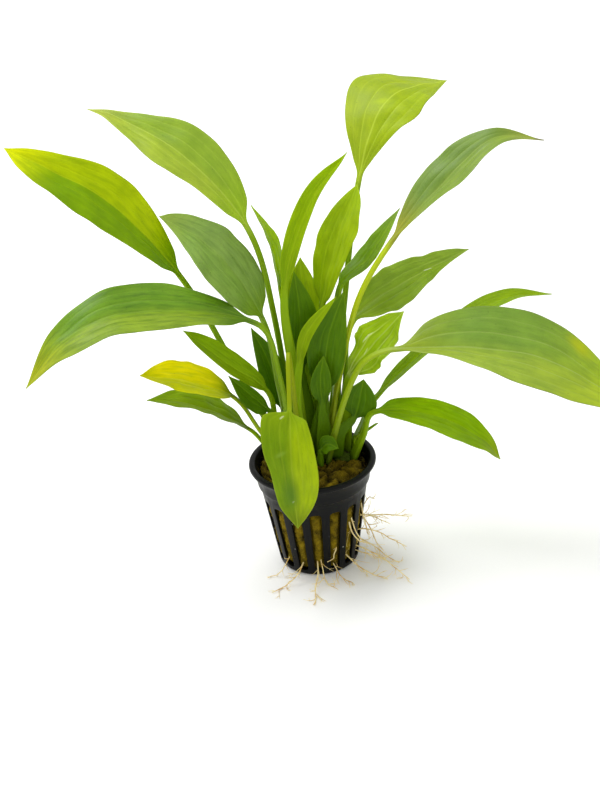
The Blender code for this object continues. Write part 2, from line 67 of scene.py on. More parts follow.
def linear(code: str) -> Colour:
    """Linear values of an sRGB colour.

    Args:
        code: six hex digits, such as "94b13d".

    Returns:
        Red, green, blue and an alpha of 1.
    """
    shares = [int(code[place:place + 2], 16) / 255 for place in (0, 2, 4)]
    red, green, blue = (x / 12.92 if x <= 0.04045 else ((x + 0.055) / 1.055) ** 2.4 for x in shares)
    return red, green, blue, 1.0


def smoothstep(low: float, high: float, value: np.ndarray) -> np.ndarray:
    """A soft step from 0 at low to 1 at high."""
    share = np.clip((value - low) / (high - low), 0, 1)
    return share * share * (3 - 2 * share)


def compass(angle: float) -> tuple[np.ndarray, np.ndarray]:
    """Level directions at an angle about the pot's middle: outwards, and sideways to the left of that."""
    return (np.array([math.cos(angle), math.sin(angle), 0]), np.array([-math.sin(angle), math.cos(angle), 0]))


class Finish:
    """A node material while it is built."""

    def __init__(self, name: str) -> None:
        """Starts an empty material.

        Args:
            name: what it is called.
        """
        self.material = bpy.data.materials.new(name)
        self.material.use_nodes = True
        self.tree = self.material.node_tree
        self.tree.nodes.clear()

    def add(self, kind: str, links: Union[dict, tuple] = (), output: Union[int, str] = 0,
            **settings: object) -> Socket:
        """Adds a node with its settings and links.

        Args:
            kind: the node's type, without its ShaderNode prefix.
            links: another node's output or a constant for each input, in their order, or by name or number.
            output: the output that the caller goes on with, by name or number.
            settings: the node's own settings; stops fills a colour ramp with (place, colour) pairs.

        Returns:
            That output socket.
        """
        node = self.tree.nodes.new("ShaderNode" + kind)
        for name, value in settings.items():
            if name != "stops":
                setattr(node, name, value)
                continue
            for number, (place, colour) in enumerate(value):
                ramp = node.color_ramp.elements
                stop = ramp[number] if number < 2 else ramp.new(place)
                stop.position, stop.color = place, colour
        for key, value in links.items() if isinstance(links, dict) else enumerate(links):
            if isinstance(value, bpy.types.NodeSocket):
                self.tree.links.new(value, node.inputs[key])
            else:
                node.inputs[key].default_value = value
        return node.outputs[output] if node.outputs else None

    def done(self, shader: Socket) -> bpy.types.Material:
        """Puts the shader on the material and returns it."""
        self.add("OutputMaterial", (shader,))
        return self.material


class Shape:
    """Points, faces and point values that become one mesh."""

    def __init__(self) -> None:
        """Starts without points."""
        self.points: list[np.ndarray] = []
        self.faces: list[np.ndarray] = []
        self.values: dict[str, list[np.ndarray]] = {}
        self.count = 0

    def skin(self, rings: np.ndarray, **values: Union[float, np.ndarray]) -> None:
        """Adds a closed skin through rings, fanned shut at both ends and facing out.

        Args:
            rings: points, as stations by points around by three.
            values: point values by name, each one number or stations by points around.
        """
        stations, around, _ = rings.shape
        ends = rings[[0, -1]].mean(axis=1)
        points = np.vstack([rings.reshape(-1, 3), ends])
        station, place = np.meshgrid(np.arange(stations - 1), np.arange(around), indexing="ij")
        beside = (place + 1) % around
        above = station + 1
        quads = np.stack([station * around + place, station * around + beside,
                          above * around + beside, above * around + place], axis=-1).reshape(-1, 4)
        turn = np.arange(around)
        foot = np.stack([np.full(around, stations * around), (turn + 1) % around, turn,
                         turn * 0 - 1], axis=-1)
        last = (stations - 1) * around
        head = np.stack([np.full(around, stations * around + 1), last + turn, last + (turn + 1) % around,
                         turn * 0 - 1], axis=-1)
        corners = points[quads]
        middle = points.mean(axis=0)
        normal = np.cross(corners[:, 2] - corners[:, 0], corners[:, 3] - corners[:, 1])
        volume = np.einsum("ij,ij->", normal, corners.mean(axis=1) - middle)
        faces = np.vstack([quads, foot, head])
        if volume < 0:
            whole = faces[:, 3] >= 0
            faces[whole] = faces[whole][:, ::-1]
            faces[~whole] = faces[~whole][:, [0, 2, 1, 3]]
        self.faces.append(np.where(faces >= 0, faces + self.count, -1))
        self.points.append(points)
        for name, value in values.items():
            full = np.broadcast_to(np.asarray(value, dtype=float), (stations, around))
            whole = np.concatenate([full.ravel(), full[[0, -1]].mean(axis=1)])
            self.values.setdefault(name, []).append(whole)
        self.count += len(points)

    def tube(self, path: np.ndarray, radii: np.ndarray, sides: int, **values: float) -> None:
        """Adds a round strand along a path.

        Args:
            path: its points, two or more by three.
            radii: its radius at each point.
            sides: points around it.
            values: point values by name.
        """
        ahead = np.gradient(path, axis=0)
        ahead /= np.linalg.norm(ahead, axis=1, keepdims=True) + 1e-9
        guide = np.eye(3)[np.argmin(np.abs(ahead).mean(axis=0))]
        across = np.cross(ahead, guide)
        across /= np.linalg.norm(across, axis=1, keepdims=True) + 1e-9
        over = np.cross(ahead, across)
        turn = np.linspace(0, FULL_TURN, sides, endpoint=False)
        around = np.cos(turn)[None, :, None] * across[:, None] + np.sin(turn)[None, :, None] * over[:, None]
        self.skin(path[:, None] + around * radii[:, None, None], **values)

    def piece(self, name: str, material: bpy.types.Material) -> bpy.types.Object:
        """The finished object.

        Args:
            name: its name.
            material: its finish.

        Returns:
            The object, shaded smooth and linked to the scene.
        """
        mesh = bpy.data.meshes.new(name)
        faces = [[corner for corner in face if corner >= 0] for face in np.vstack(self.faces).tolist()]
        mesh.from_pydata((np.vstack(self.points) * MM).tolist(), [], faces)
        for value_name, parts in self.values.items():
            attribute = mesh.attributes.new(value_name, "FLOAT", "POINT")
            attribute.data.foreach_set("value", np.concatenate(parts).astype(np.float32))
        mesh.shade_smooth()
        mesh.materials.append(material)
        made = bpy.data.objects.new(name, mesh)
        bpy.context.scene.collection.objects.link(made)
        return made


def settle(piece: bpy.types.Object, slot: str, *nodes: str) -> None:
    """Puts a piece on the one body, in place of its nodes, and reports it.

    Args:
        piece: the new piece.
        slot: the record's material slot for the piece; not used.
        nodes: the solids that it stands for.
    """
    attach(piece, "root")
    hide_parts(*nodes)
    LOG.info("%s: %d faces", piece.name, len(piece.data.polygons))


@dataclass(frozen=True)
class Mark:
    """A spot or scratch on a blade, or a painted glint."""

    along: float
    across: float
    length: float
    width: float
    colour: str
    turn: float = 0.0
    core: float = 0.6       # share of it that has its full strength
    strength: float = 0.9


@dataclass(frozen=True)
class LivingLeaf:
    """Living leaf tissue, grown under a smooth waxy skin.

    The skin gives a broken satin sheen, and the tissue lets light through, so a blade against the light turns
    a warmer, brighter green than its lit face. Two soft pale veins run on each side of the midrib from neck
    to tip, with a faint net of fine ones between them.
    """

    name: str
    # The left and right colours differ partly by painted light and shade of the folded halves.
    left: str               # colour left of the midrib
    right: str              # colour right of the midrib
    neck: str
    tip: str
    vein: str = "c3cf6a"
    streak: str = "4a6a10"
    stalk: str = "8eb208"
    # foot: a darker green, painted shade where the stalk clasps the crown
    foot: str = "3f5c06"    # colour of the stalk where it clasps the crown
    algae: str = "33480c"   # colour of the specks
    streaks: float = 0.4    # strengths of the streaks, the side veins, the midrib and the specks
    veins: float = 0.3
    rib: float = 0.5
    specks: float = 0.35
    blend: float = 0.3      # how softly one side's colour turns into the other's, in half-widths
    tip_start: float = 0.7  # share of the length where the colour of the tip begins
    through: float = 0.4    # share of the light that the tissue lets through
    roughness: float = 0.4
    sheen: float = 0.16     # strength of the waxy skin's reflection; 0.5 is a plain one
    marks: tuple[Mark, ...] = ()

    FIRST_VEIN = 0.36       # where the side veins run, in half-widths
    SECOND_VEIN = 0.7
    NECK = (0.02, 0.3)      # shares of the length between which the neck's colour fades
    USUAL_HALF_WIDTH = 14.0
    STALK_THROUGH = 0.2

    def material(self, length: float) -> bpy.types.Material:
        """The leaf's material.

        Args:
            length: length of the blade.

        Returns:
            A waxy surface mixed with light from the far side.
        """
        made = Finish(self.name)
        add = made.add
        value = {name: add("Attribute", output="Fac", attribute_name=name, attribute_type="GEOMETRY")
                 for name in ("across", "along", "half", "travel")}
        aside = add("Math", (value["across"], self.USUAL_HALF_WIDTH), operation="MULTIPLY")
        run = add("CombineXYZ", (aside, value["travel"]))
        beside = add("Math", (value["across"],), operation="ABSOLUTE")
        lines, rib, rim_and_highlight = self._lines(made, beside, value, run)
        # Streaks follow the veins: they are 2 mm wide and 14 mm long.
        stretched = add("VectorMath", (run, (0.55, 0.07, 1.0)), operation="MULTIPLY")
        streaky = add("TexNoise", {"Vector": stretched, "Scale": 1.0, "Detail": 4.0, "Roughness": 0.6})
        streak = add("MapRange", (streaky, 0.45, 0.72, 0.0, self.streaks))
        # Paler clouds are 9 mm across.
        cloudy = add("TexNoise", {"Vector": run, "Scale": 0.11, "Detail": 3.0})
        cloud = add("MapRange", (cloudy, 0.35, 0.65, 0.0, 1.0))

        blade = self._ground(made, value)
        lighter = add("HueSaturation", {"Color": blade, "Hue": 0.494, "Value": 1.14})
        blade = add("Mix", {SHARE: cloud, UNDER: blade, OVER: lighter}, **COLOURS)
        blade = add("Mix", {SHARE: streak, UNDER: blade, OVER: linear(self.streak)}, **COLOURS)
        pale = add("Math", (lines, self.veins), operation="MULTIPLY")
        pale = add("Math", (pale, add("Math", (rib, self.rib), operation="MULTIPLY")), operation="MAXIMUM")
        pale = add("Math", (pale, rim_and_highlight), operation="MAXIMUM")
        blade = add("Mix", {SHARE: pale, UNDER: blade, OVER: linear(self.vein)}, **COLOURS)
        # Dark specks of algae are 0.3 to 0.6 mm across, in loose groups.
        grain = add("TexVoronoi", {"Vector": run, "Scale": 0.45}, output="Distance")
        speck = add("MapRange", (grain, 0.07, 0.14, self.specks, 0.0))
        grouped = add("MapRange", (add("TexNoise", {"Vector": run, "Scale": 0.3}), 0.5, 0.58, 0.0, 1.0))
        speck = add("Math", (speck, grouped), operation="MULTIPLY")
        blade = add("Mix", {SHARE: speck, UNDER: blade, OVER: linear(self.algae)}, **COLOURS)
        for mark in self.marks:
            blade = self._marked(made, blade, value, mark, length)
        on_stalk = add("MapRange", (value["along"], -0.05, 0.03, 1.0, 0.0), **SOFT)
        # Painted shade: the stalk darkens towards its foot, deep in the crown.
        low = add("MapRange", (value["along"], -1.0, -0.6, 0.85, 0.0))
        ridge = add("Math", (streak, 0.5), operation="MULTIPLY")
        stem = add("Mix", {SHARE: ridge, UNDER: linear(self.stalk), OVER: linear(self.streak)}, **COLOURS)
        stem = add("Mix", {SHARE: low, UNDER: stem, OVER: linear(self.foot)}, **COLOURS)
        colour = add("Mix", {SHARE: on_stalk, UNDER: blade, OVER: stem}, **COLOURS)

        sunken = add("Math", (lines, -0.6), operation="MULTIPLY")
        pores = add("TexNoise", {"Vector": run, "Scale": 0.8, "Detail": 5.0})
        height = add("Math", (sunken, pores), operation="ADD")
        relief = add("Bump", {"Strength": 0.4, "Distance": 0.0002, "Height": height})
        waxy = add("MapRange", (cloudy, 0.3, 0.7, self.roughness - 0.08, self.roughness + 0.1))
        face = add("BsdfPrincipled", {"Base Color": colour, "Roughness": waxy, "Metallic": 0.0, "IOR": 1.42,
                                      "Specular IOR Level": self.sheen, "Normal": relief})
        warm = add("HueSaturation", {"Color": colour, "Hue": 0.49, "Saturation": 1.1, "Value": 1.2})
        glow = add("BsdfTranslucent", {"Color": warm, "Normal": relief})
        share = add("MapRange", (on_stalk, 0.0, 1.0, self.through, self.STALK_THROUGH))
        return made.done(add("MixShader", (share, face, glow)))

    def _ground(self, made: Finish, value: dict) -> Socket:
        """The blade's colours: two sides partly painted light and shade, its neck and its tip.

        Args:
            made: the material.
            value: the leaf's point values by name.

        Returns:
            The colour.
        """
        add = made.add
        # Painted light and shade: one half of the blade lighter, the other darker.
        side = add("MapRange", (value["across"], -self.blend, self.blend, 0.0, 1.0), **SOFT)
        blade = add("Mix", {SHARE: side, UNDER: linear(self.right), OVER: linear(self.left)}, **COLOURS)
        at_neck = add("MapRange", (value["along"], *self.NECK, 1.0, 0.0), **SOFT)
        blade = add("Mix", {SHARE: at_neck, UNDER: blade, OVER: linear(self.neck)}, **COLOURS)
        at_tip = add("MapRange", (value["along"], self.tip_start, 1.0, 0.0, 1.0), **SOFT)
        return add("Mix", {SHARE: at_tip, UNDER: blade, OVER: linear(self.tip)}, **COLOURS)

    def _lines(self, made: Finish, beside: Socket, value: dict, run: Socket) -> tuple[Socket, Socket, Socket]:
        """Where the side veins, the midrib and the pale margin, partly a painted highlight, run.

        Args:
            made: the material.
            beside: share of the half-width.
            value: the leaf's point values by name.
            run: place on the blade in millimetres.

        Returns:
            The strengths of side veins, midrib and pale margin, partly a painted highlight.
        """
        add = made.add
        veins = []
        for place, strength in ((self.FIRST_VEIN, 1.0), (self.SECOND_VEIN, 0.55)):
            past = add("Math", (beside, place), operation="SUBTRACT")
            away = add("Math", (past,), operation="ABSOLUTE")
            away = add("Math", (away, value["half"]), operation="MULTIPLY")
            # A main side vein is 0.5 mm wide with soft edges.
            veins.append(add("MapRange", (away, 0.05, 0.5, strength, 0.0), **SOFT))
        lines = add("Math", tuple(veins), operation="MAXIMUM")
        fade = add("MapRange", (value["along"], 0.55, 0.92, 1.0, 0.15), **SOFT)
        lines = add("Math", (lines, fade), operation="MULTIPLY")
        # Secondary veins are about 1 mm apart. Real ones are 0.1 mm wide and are drawn at 0.3 mm to show.
        to_fine = add("Math", (beside, 0.0375), operation="PINGPONG")
        to_fine = add("Math", (to_fine, value["half"]), operation="MULTIPLY")
        fine = add("MapRange", (to_fine, 0.05, 0.25, 0.16, 0.0), **SOFT)
        # Cross veins make a net with meshes of 1 by 2 mm.
        net = add("VectorMath", (run, (0.9, 0.55, 1.0)), operation="MULTIPLY")
        to_net = add("TexVoronoi", {"Vector": net, "Scale": 1.0, "Randomness": 0.8}, output="Distance",
                     feature="DISTANCE_TO_EDGE")
        mesh = add("MapRange", (to_net, 0.0, 0.1, 0.12, 0.0), **SOFT)
        faint = add("Math", (fine, mesh), operation="MAXIMUM")
        lines = add("Math", (lines, faint), operation="MAXIMUM")
        # The midrib is nearly 1 mm wide at the neck and half that near the tip.
        aside = add("Math", (beside, value["half"]), operation="MULTIPLY")
        width = add("MapRange", (value["along"], 0.0, 1.0, 0.75, 0.35))
        rib = add("MapRange", (aside, 0.1, width, 1.0, 0.0), **SOFT)
        # The margin is paler than the blade for half a millimetre, partly its own tone and partly a painted
        # highlight.
        to_rim = add("Math", (value["half"], aside), operation="SUBTRACT")
        rim_and_highlight = add("MapRange", (to_rim, 0.1, 0.8, 0.4, 0.0), **SOFT)
        return lines, rib, rim_and_highlight

    def _marked(self, made: Finish, blade: Socket, value: dict, mark: Mark, length: float) -> Socket:
        """The blade's colour with a spot or scratch on it.

        Args:
            made: the material.
            blade: the colour so far.
            value: the leaf's point values by name.
            mark: what is added.
            length: length of the blade.

        Returns:
            The new colour.
        """
        add = made.add
        aside = add("Math", (value["across"], mark.across), operation="SUBTRACT")
        aside = add("Math", (aside, value["half"]), operation="MULTIPLY")
        ahead = add("Math", (value["along"], mark.along), operation="SUBTRACT")
        ahead = add("Math", (ahead, length), operation="MULTIPLY")
        place = add("CombineXYZ", (ahead, aside))
        turn = math.radians(mark.turn)
        place = add("VectorRotate", {"Vector": place, "Angle": turn}, rotation_type="Z_AXIS")
        ragged = add("TexNoise", {"Vector": place, "Scale": 0.7, "Detail": 3.0}, output="Color")
        ragged = add("VectorMath", (ragged, (0.6, 0.6, 0.0)), operation="MULTIPLY")
        place = add("VectorMath", (place, ragged), operation="ADD")
        scaled = add("VectorMath", (place, (2 / mark.length, 2 / mark.width, 0.0)), operation="MULTIPLY")
        away = add("VectorMath", (scaled,), output="Value", operation="LENGTH")
        spot = add("MapRange", (away, mark.core, 1.15, mark.strength, 0.0), **SOFT)
        return add("Mix", {SHARE: spot, UNDER: blade, OVER: linear(mark.colour)}, **COLOURS)


class Tone(Enum):
    """The looks of the leaves, by their age and the light they stand in."""

    UPPER_LEFT = LivingLeaf("upper_left_living_leaf", "a4b93c", "93b036", "a0c01c", "a8b33d", vein="c2d458",
                            streak="7b9c2c", streaks=0.35, through=0.42, rib=0.6, sheen=0.3)
    FOLDED = LivingLeaf("folded_living_leaf", "84a802", "aec202", "78a002", "d2da02", vein="c2d024",
                        streak="649000", streaks=0.35, veins=0.16, through=0.5, blend=0.07)
    MID_LEFT = LivingLeaf("grey_green_living_leaf", "88ab48", "89a94e", "80a60a", "90aa3e", vein="9cb852",
                          streak="4f7424", streaks=0.45, veins=0.22, through=0.3, roughness=0.45, sheen=0.5,
                          specks=0.6)
    LONG_LEFT = LivingLeaf("long_left_living_leaf", "8ca828", "74a024", "568002", "b4b906", vein="9ab844",
                           streak="3f6a14", streaks=0.6, veins=0.2, through=0.35, rib=0.3, sheen=0.35,
                           specks=0.5)
    FRESH = LivingLeaf("fresh_living_leaf", "9cbc02", "a3c204", "86aa02", "a0c002", vein="bed428",
                       streak="709800", streaks=0.35, veins=0.22, through=0.5)
    TOP = LivingLeaf("sunlit_living_leaf", "9fb422", "a2b916", "95ae12", "a4b830", vein="c6d848",
                     streak="86a31a", streaks=0.35, veins=0.45, through=0.4, rib=0.8, sheen=0.25,
                     marks=(Mark(0.5, 0.1, 9, 4, "b8cc1c", 60, core=0.1, strength=0.7),))
    UPPER_RIGHT = LivingLeaf("upper_right_living_leaf", "6f902e", "7d9a2c", "a3a112", "a4af3c", vein="98ae48",
                             streak="56781f", streaks=0.45, veins=0.2, through=0.28, roughness=0.45,
                             stalk="bcce04", sheen=0.5, specks=0.55, marks=(Mark(0.99, 0, 7, 4, "8a8a50"),))
    MID_RIGHT = LivingLeaf("mid_right_living_leaf", "8fae30", "8aab1a", "9dbb12", "93b236", vein="b4c85c",
                           streak="66891e", streaks=0.45, veins=0.22, through=0.32, specks=0.5, sheen=0.35,
                           marks=(Mark(0.66, 0.0, 4.2, 0.45, "e6ebcf", 14),))
    CRINKLED = LivingLeaf("crinkled_living_leaf", "aecd0a", "a8c80c", "80a204", "a8c814", vein="dbe88a",
                          streak="709604", streaks=0.55, veins=0.6, through=0.45,
                          # These two thin near-white marks are painted glints.
                          marks=(Mark(0.5, 0.45, 7, 0.7, "eef3cd", 8, strength=0.75),
                                 Mark(0.35, 0.1, 4, 0.6, "e6eebc", -12, strength=0.6)))
    LONG_RIGHT = LivingLeaf("long_right_living_leaf", "84a83c", "9db53a", "98ae16", "b8cc18", vein="b4c868",
                            streak="66882a", streaks=0.4, veins=0.38, through=0.38, rib=0.6, stalk="a2bc10",
                            sheen=0.45, tip_start=0.42,
                            marks=(Mark(0.66, 0.85, 15, 8, "c3cc12", core=0.1, strength=0.8),))
    LOWER_RIGHT = LivingLeaf("lower_right_living_leaf", "9cc202", "96ba04", "76a002", "9cb206", vein="b0ca1e",
                             streak="6a9200", streaks=0.4, veins=0.2, through=0.45)
    FRONT = LivingLeaf("front_living_leaf", "a6bf04", "7a9e08", "8aaa06", "748a06", vein="b0c62c",
                       streak="608204", streaks=0.35, veins=0.26, through=0.35, stalk="98a80a",
                       roughness=0.33,
                       # The first two marks, small pale spots, are painted glints.
                       marks=(Mark(0.08, -0.42, 1.9, 1.2, "e3ebb4", strength=0.75),
                              Mark(0.745, -0.1, 1.5, 1.0, "d4e2a0", 40, strength=0.75),
                              Mark(0.33, -0.4, 6.0, 2.2, "9fbf48", 70, core=0.1, strength=0.5),
                              Mark(0.66, -0.12, 20.0, 9.0, "5d8620", core=0.1, strength=0.75)))
    YELLOWED = LivingLeaf("yellowed_living_leaf", "c8d002", "e9e602", "7e9c00", "d2d402", vein="e6ea3c",
                          streak="a4b802", streaks=0.5, veins=0.2, through=0.45, stalk="9ab60a", rib=0.3)
    GREEN = LivingLeaf("green_living_leaf", "90b002", "96b804", "7ea202", "92b206", vein="b0ca24",
                       streak="628a02", streaks=0.4, veins=0.22, through=0.4)
    SHADED = LivingLeaf("shaded_living_leaf", "568202", "5f8c02", "446e02", "648c04", vein="86b01c",
                        streak="376002", streaks=0.45, veins=0.2, through=0.35, stalk="648a06")
    # A darker copy of GREEN: painted shade on the leaf that lies under the yellow one.
    SHADED_UNDER = LivingLeaf("shaded_under_living_leaf", "84a206", "8aaa06", "769402", "80a00c", vein="9ab02c",
                      streak="587a02", streaks=0.4, veins=0.22, through=0.35, roughness=0.5, sheen=0.1)
    PALE = LivingLeaf("pale_living_leaf", "94b006", "a2bc10", "84a404", "a0bc14", vein="b8d030",
                      streak="6f9600", streaks=0.4, veins=0.25, through=0.45)
    BEHIND = LivingLeaf("lit_through_living_leaf", "8cb030", "90b424", "94bc08", "84a63c", vein="b2ca44",
                        streak="6c9014", streaks=0.35, veins=0.22, through=0.5, sheen=0.35)


@dataclass(frozen=True)
class Leaf:
    """One leaf: the crown that it grows from and the line that it follows out and up from there."""

    name: str
    crown: str
    seat: float             # where its stalk stands around the crown, degrees from +X towards +Y
    heading: float          # which way it leans out, degrees from +X towards +Y
    neck: tuple             # out and up, from the foot, of the place where the stalk becomes the blade
    crest: tuple            # out and up of the middle of the blade
    tip: tuple              # out and up of the blade's tip
    width: float            # widest part of the blade
    slot: str
    tone: Tone
    roll: float = 0.0       # tilt of the blade about its midrib, degrees
    turn: float = 0.0       # sideways curve from neck to tip, degrees
    fold: float = 12.0      # slope of each half of the blade up from the midrib, degrees
    ruffle: float = 0.0     # height of the waves along the margins
    widest: float = 0.42    # where the blade is widest, as a share of its length
    left: Outline = ()      # half-widths left of the midrib, each after its per cent of the blade's length
    right: Outline = ()     # the same, right of the midrib, as seen from above and towards the tip
    by: Optional[tuple] = None      # out and up of a point that the stalk passes, where it isn't straight
    bend: Optional[tuple] = None    # out and up of a point between crest and tip, where that stretch curves
    stalk: float = 2.6      # thickness of the stalk
    lobes: tuple = (0, 0)   # how far the left and right shoulders reach back past the neck
    wing: float = 0.0       # how far the blade runs on down each side of the stalk
    crinkle: float = 0.12   # height of the small ripples of the margins

    SPAN_STEPS = 40         # points to each span of its line, and of a drawn margin
    MARGIN_STEPS = 16
    STATION = 1.15          # distance between sections of the blade
    STALK_STATION = 2.2
    SHARES = (0, .03, .08, .15, .22, .29, .33, .36, .39, .44, .52, .6, .66, .7, .74, .82, .9, .96, 1)
    OUTLINE_POWER = 1.8
    BLADE_START = 0.12
    THICKNESS = 0.34
    MARGIN = 0.15           # half-width that is left at the very tip
    SHEATH = 11.0           # height over which the stalk's clasping foot narrows
    RUFFLES = 2.5           # how many large waves run along the margins
    RIPPLES = (2.3, 3.7, 5.9, 8.3)      # how many small ones
    DENTS = (1.3, 2.9, 4.7)             # how many shallow waves run along the blade's face
    DENT_DEPTH = 0.22
    VEIN_DEPTHS = ((LivingLeaf.FIRST_VEIN, 0.16), (LivingLeaf.SECOND_VEIN, 0.1))
    VEIN_WIDTH = 0.6
    GROOVE_DEPTH = 0.2
    GROOVE_WIDTH = 0.5

    def foot(self) -> Vector:
        """Where the stalk starts.

        Returns:
            The middle of its foot, on the mound of wool.
        """
        around = math.radians(self.seat)
        x, y = Crowns.PLACES[self.crown]
        return Vector((x + Crowns.SEAT_RADIUS * math.cos(around), y + Crowns.SEAT_RADIUS * math.sin(around),
                       WoolPlug.MOUND_TOP + Crowns.SEAT_RISE))

    def line(self) -> list[tuple[Vector, float]]:
        """The leaf's middle line.

        Returns:
            Points from foot to tip with their headings; the neck is number 2 * SPAN_STEPS.
        """
        foot = self.foot()
        base, neck = Vector((0, foot.z)), Vector(self.neck)
        middle = Vector(self.by) if self.by else (base + neck) / 2
        beyond = [Vector(point) for point in (self.crest, self.bend, self.tip) if point]
        flat = smooth_line([point.to_3d() for point in (base, middle, neck, *beyond)], self.SPAN_STEPS)
        neck_at = 2 * self.SPAN_STEPS
        place, line = foot.copy(), []
        for here, point in enumerate(flat):
            past = max(0, here - neck_at) / (len(flat) - 1 - neck_at)
            heading = math.radians(self.heading + self.turn * past)
            if here:
                step = point - flat[here - 1]
                place = place + Vector((step.x * math.cos(heading), step.x * math.sin(heading), step.y))
            line.append((place, heading))
        return line

    def half_widths(self, past: np.ndarray, way: int) -> np.ndarray:
        """Half-widths of the blade.

        Args:
            past: shares of its length.
            way: 1 for the left of the midrib, -1 for the right.

        Returns:
            The half-width at each share.
        """
        given = self.left if way > 0 else self.right
        if not given:
            base, tip = self.OUTLINE_POWER * self.widest, self.OUTLINE_POWER * (1 - self.widest)
            return self.width / 2 * (past / self.widest) ** base * ((1 - past) / (1 - self.widest)) ** tip
        margin = smooth_line([Vector((*point, 0)) for point in ((0, 0), *given, (100, 0))], self.MARGIN_STEPS)
        return np.interp(100 * past, [point.x for point in margin], [point.y for point in margin])

    def build(self) -> tuple[Shape, float]:
        """The leaf's mesh.

        Returns:
            Its shape and the length of its blade.
        """
        line, neck = self.line(), 2 * self.SPAN_STEPS
        stalk, stalk_length = resample(line[:neck + 1], self.STALK_STATION)
        blade, blade_length = resample(line[neck:], self.STATION)
        stations = stalk[:-1] + blade
        along = np.concatenate([np.linspace(-1, 0, len(stalk))[:-1], np.linspace(0, 1, len(blade))])
        place = np.array([station[0] for station in stations])
        forward = np.array([station[2] for station in stations])
        forward[0] = UP
        side = np.array([(-math.sin(heading), math.cos(heading), 0) for _, heading, _ in stations])
        side -= forward * np.einsum("ij,ij->i", side, forward)[:, None]
        side /= np.linalg.norm(side, axis=1)[:, None]
        tilt = math.radians(self.roll)
        side = side * math.cos(tilt) + np.cross(forward, side) * math.sin(tilt)
        above = np.cross(forward, side)

        shares = np.array(self.SHARES)
        upper = np.concatenate([shares[::-1], -shares[1:]])
        across = np.concatenate([upper, upper[-2:0:-1]])
        over = np.concatenate([np.where(np.abs(upper) < 1, 1.0, 0.0), -np.ones(len(upper) - 2)])
        clasp = np.where(along < 0, np.exp(-(along + 1) * stalk_length / self.SHEATH), 0.0)
        aside, lift, back, half = self._section(along[:, None], across[None], over[None], clasp[:, None])
        rings = (place[:, None] + side[:, None] * aside[..., None] + above[:, None] * lift[..., None]
                 - forward[:, None] * back[..., None])
        travel = np.where(along < 0, along * stalk_length, along * blade_length)[:, None]
        shape = Shape()
        shape.skin(rings, across=across[None], along=along[:, None], half=half, travel=travel)
        return shape, blade_length

    def _section(self, along: np.ndarray, across: np.ndarray, over: np.ndarray, clasp: np.ndarray) -> tuple:
        """Where each point of the leaf's sections lies about its midrib.

        Args:
            along: -1 to 0 on the stalk and 0 to 1 on the blade, one for each section.
            across: -1 at the right margin to 1 at the left one, one for each point of a section.
            over: 1 on the upper side, -1 on the under side and 0 at a margin.
            clasp: 1 where the stalk's foot clasps the crown, down to 0 above it, one for each section.

        Returns:
            Distances aside, above and backward, and the half-width of the blade, for each point.
        """
        past, beside = np.maximum(along, 0), np.abs(across)
        taper = 1 - past
        stalk = self.stalk / 2 * (0.96 + 0.16 * np.maximum(-along, 0) ** 2 + 0.3 * clasp)
        width = np.where(across >= 0, self.half_widths(past, 1), self.half_widths(past, -1))
        half = np.hypot(width, stalk * taper + self.MARGIN * past)
        spread = smoothstep(0, self.BLADE_START, past)

        aside = half * across
        lift = self._relief(past, across, half)
        from_rib = np.abs(aside)
        rib_height = (0.9 * taper ** 0.8 + 0.1) * self.stalk / Leaf.stalk
        rib = rib_height * np.exp(-(from_rib / (0.7 * taper + 0.25)) ** 2)
        groove = self.GROOVE_DEPTH * taper * np.exp(-(from_rib / self.GROOVE_WIDTH) ** 2)
        thick = self.THICKNESS / 2 * (1 - 0.8 * beside ** 6)
        lift = lift + np.where(over > 0, thick - groove, 0) - np.where(over < 0, thick + rib, 0)

        turned = across * math.pi / 2
        winged = self.wing * (0.55 + 0.45 * np.cos(math.pi * (np.maximum(-along, 0) - 0.75)))
        round_aside = (stalk * (1 + 0.75 * clasp) + winged) * np.sin(turned)
        dent = 0.3 * stalk * np.exp(-(across / 0.35) ** 2)
        round_lift = np.where(over > 0, stalk * np.cos(turned) * 0.85 - dent, -stalk * np.cos(turned))
        round_lift = np.where(over == 0, 0, round_lift)
        reach = np.where(across > 0, self.lobes[0], self.lobes[1])
        back = reach * beside ** 1.5 * (1 - smoothstep(0, 0.3, past)) * spread
        return (round_aside + (aside - round_aside) * spread, round_lift + (lift - round_lift) * spread,
                back, np.broadcast_to(half, aside.shape))

    def _relief(self, past: np.ndarray, across: np.ndarray, half: np.ndarray) -> np.ndarray:
        """How far the blade's middle surface lies above its midrib: fold, waves and sunken side veins.

        Args:
            past: shares of the blade's length.
            across: -1 at the right margin to 1 at the left one.
            half: half-widths of the blade.

        Returns:
            The height at each point.
        """
        luck = np.random.default_rng(sum(map(ord, self.name)))
        beside, taper = np.abs(across), 1 - past
        lift = half * math.tan(math.radians(self.fold)) * beside * (1.25 - 0.25 * beside)
        wave = self.ruffle * np.sin(FULL_TURN * self.RUFFLES * past) * 4 * past * taper
        lift = lift + wave * beside
        # Small waves and veins grow with the blade's width, and die out at its neck and its tip.
        grow = np.minimum(half / 10, 1.2) * np.minimum(4 * taper, 1) * np.minimum(5 * past, 1)
        for turns in self.RIPPLES:
            turned, shifted = luck.uniform(0, FULL_TURN, 2)
            ripple = np.sin(FULL_TURN * turns * past + turned + np.where(across > 0, shifted, 0))
            lift = lift + self.crinkle * grow * beside ** 2.5 * ripple / math.sqrt(turns / self.RIPPLES[0])
        for turns in self.DENTS:
            turned, shifted = luck.uniform(0, FULL_TURN, 2)
            dent = np.sin(FULL_TURN * turns * past + turned) * np.sin(4 * across + shifted)
            lift = lift + self.DENT_DEPTH * grow * dent
        for place, depth in self.VEIN_DEPTHS:
            lift = lift - depth * grow * np.exp(-((beside - place) * half / self.VEIN_WIDTH) ** 2)
        return lift


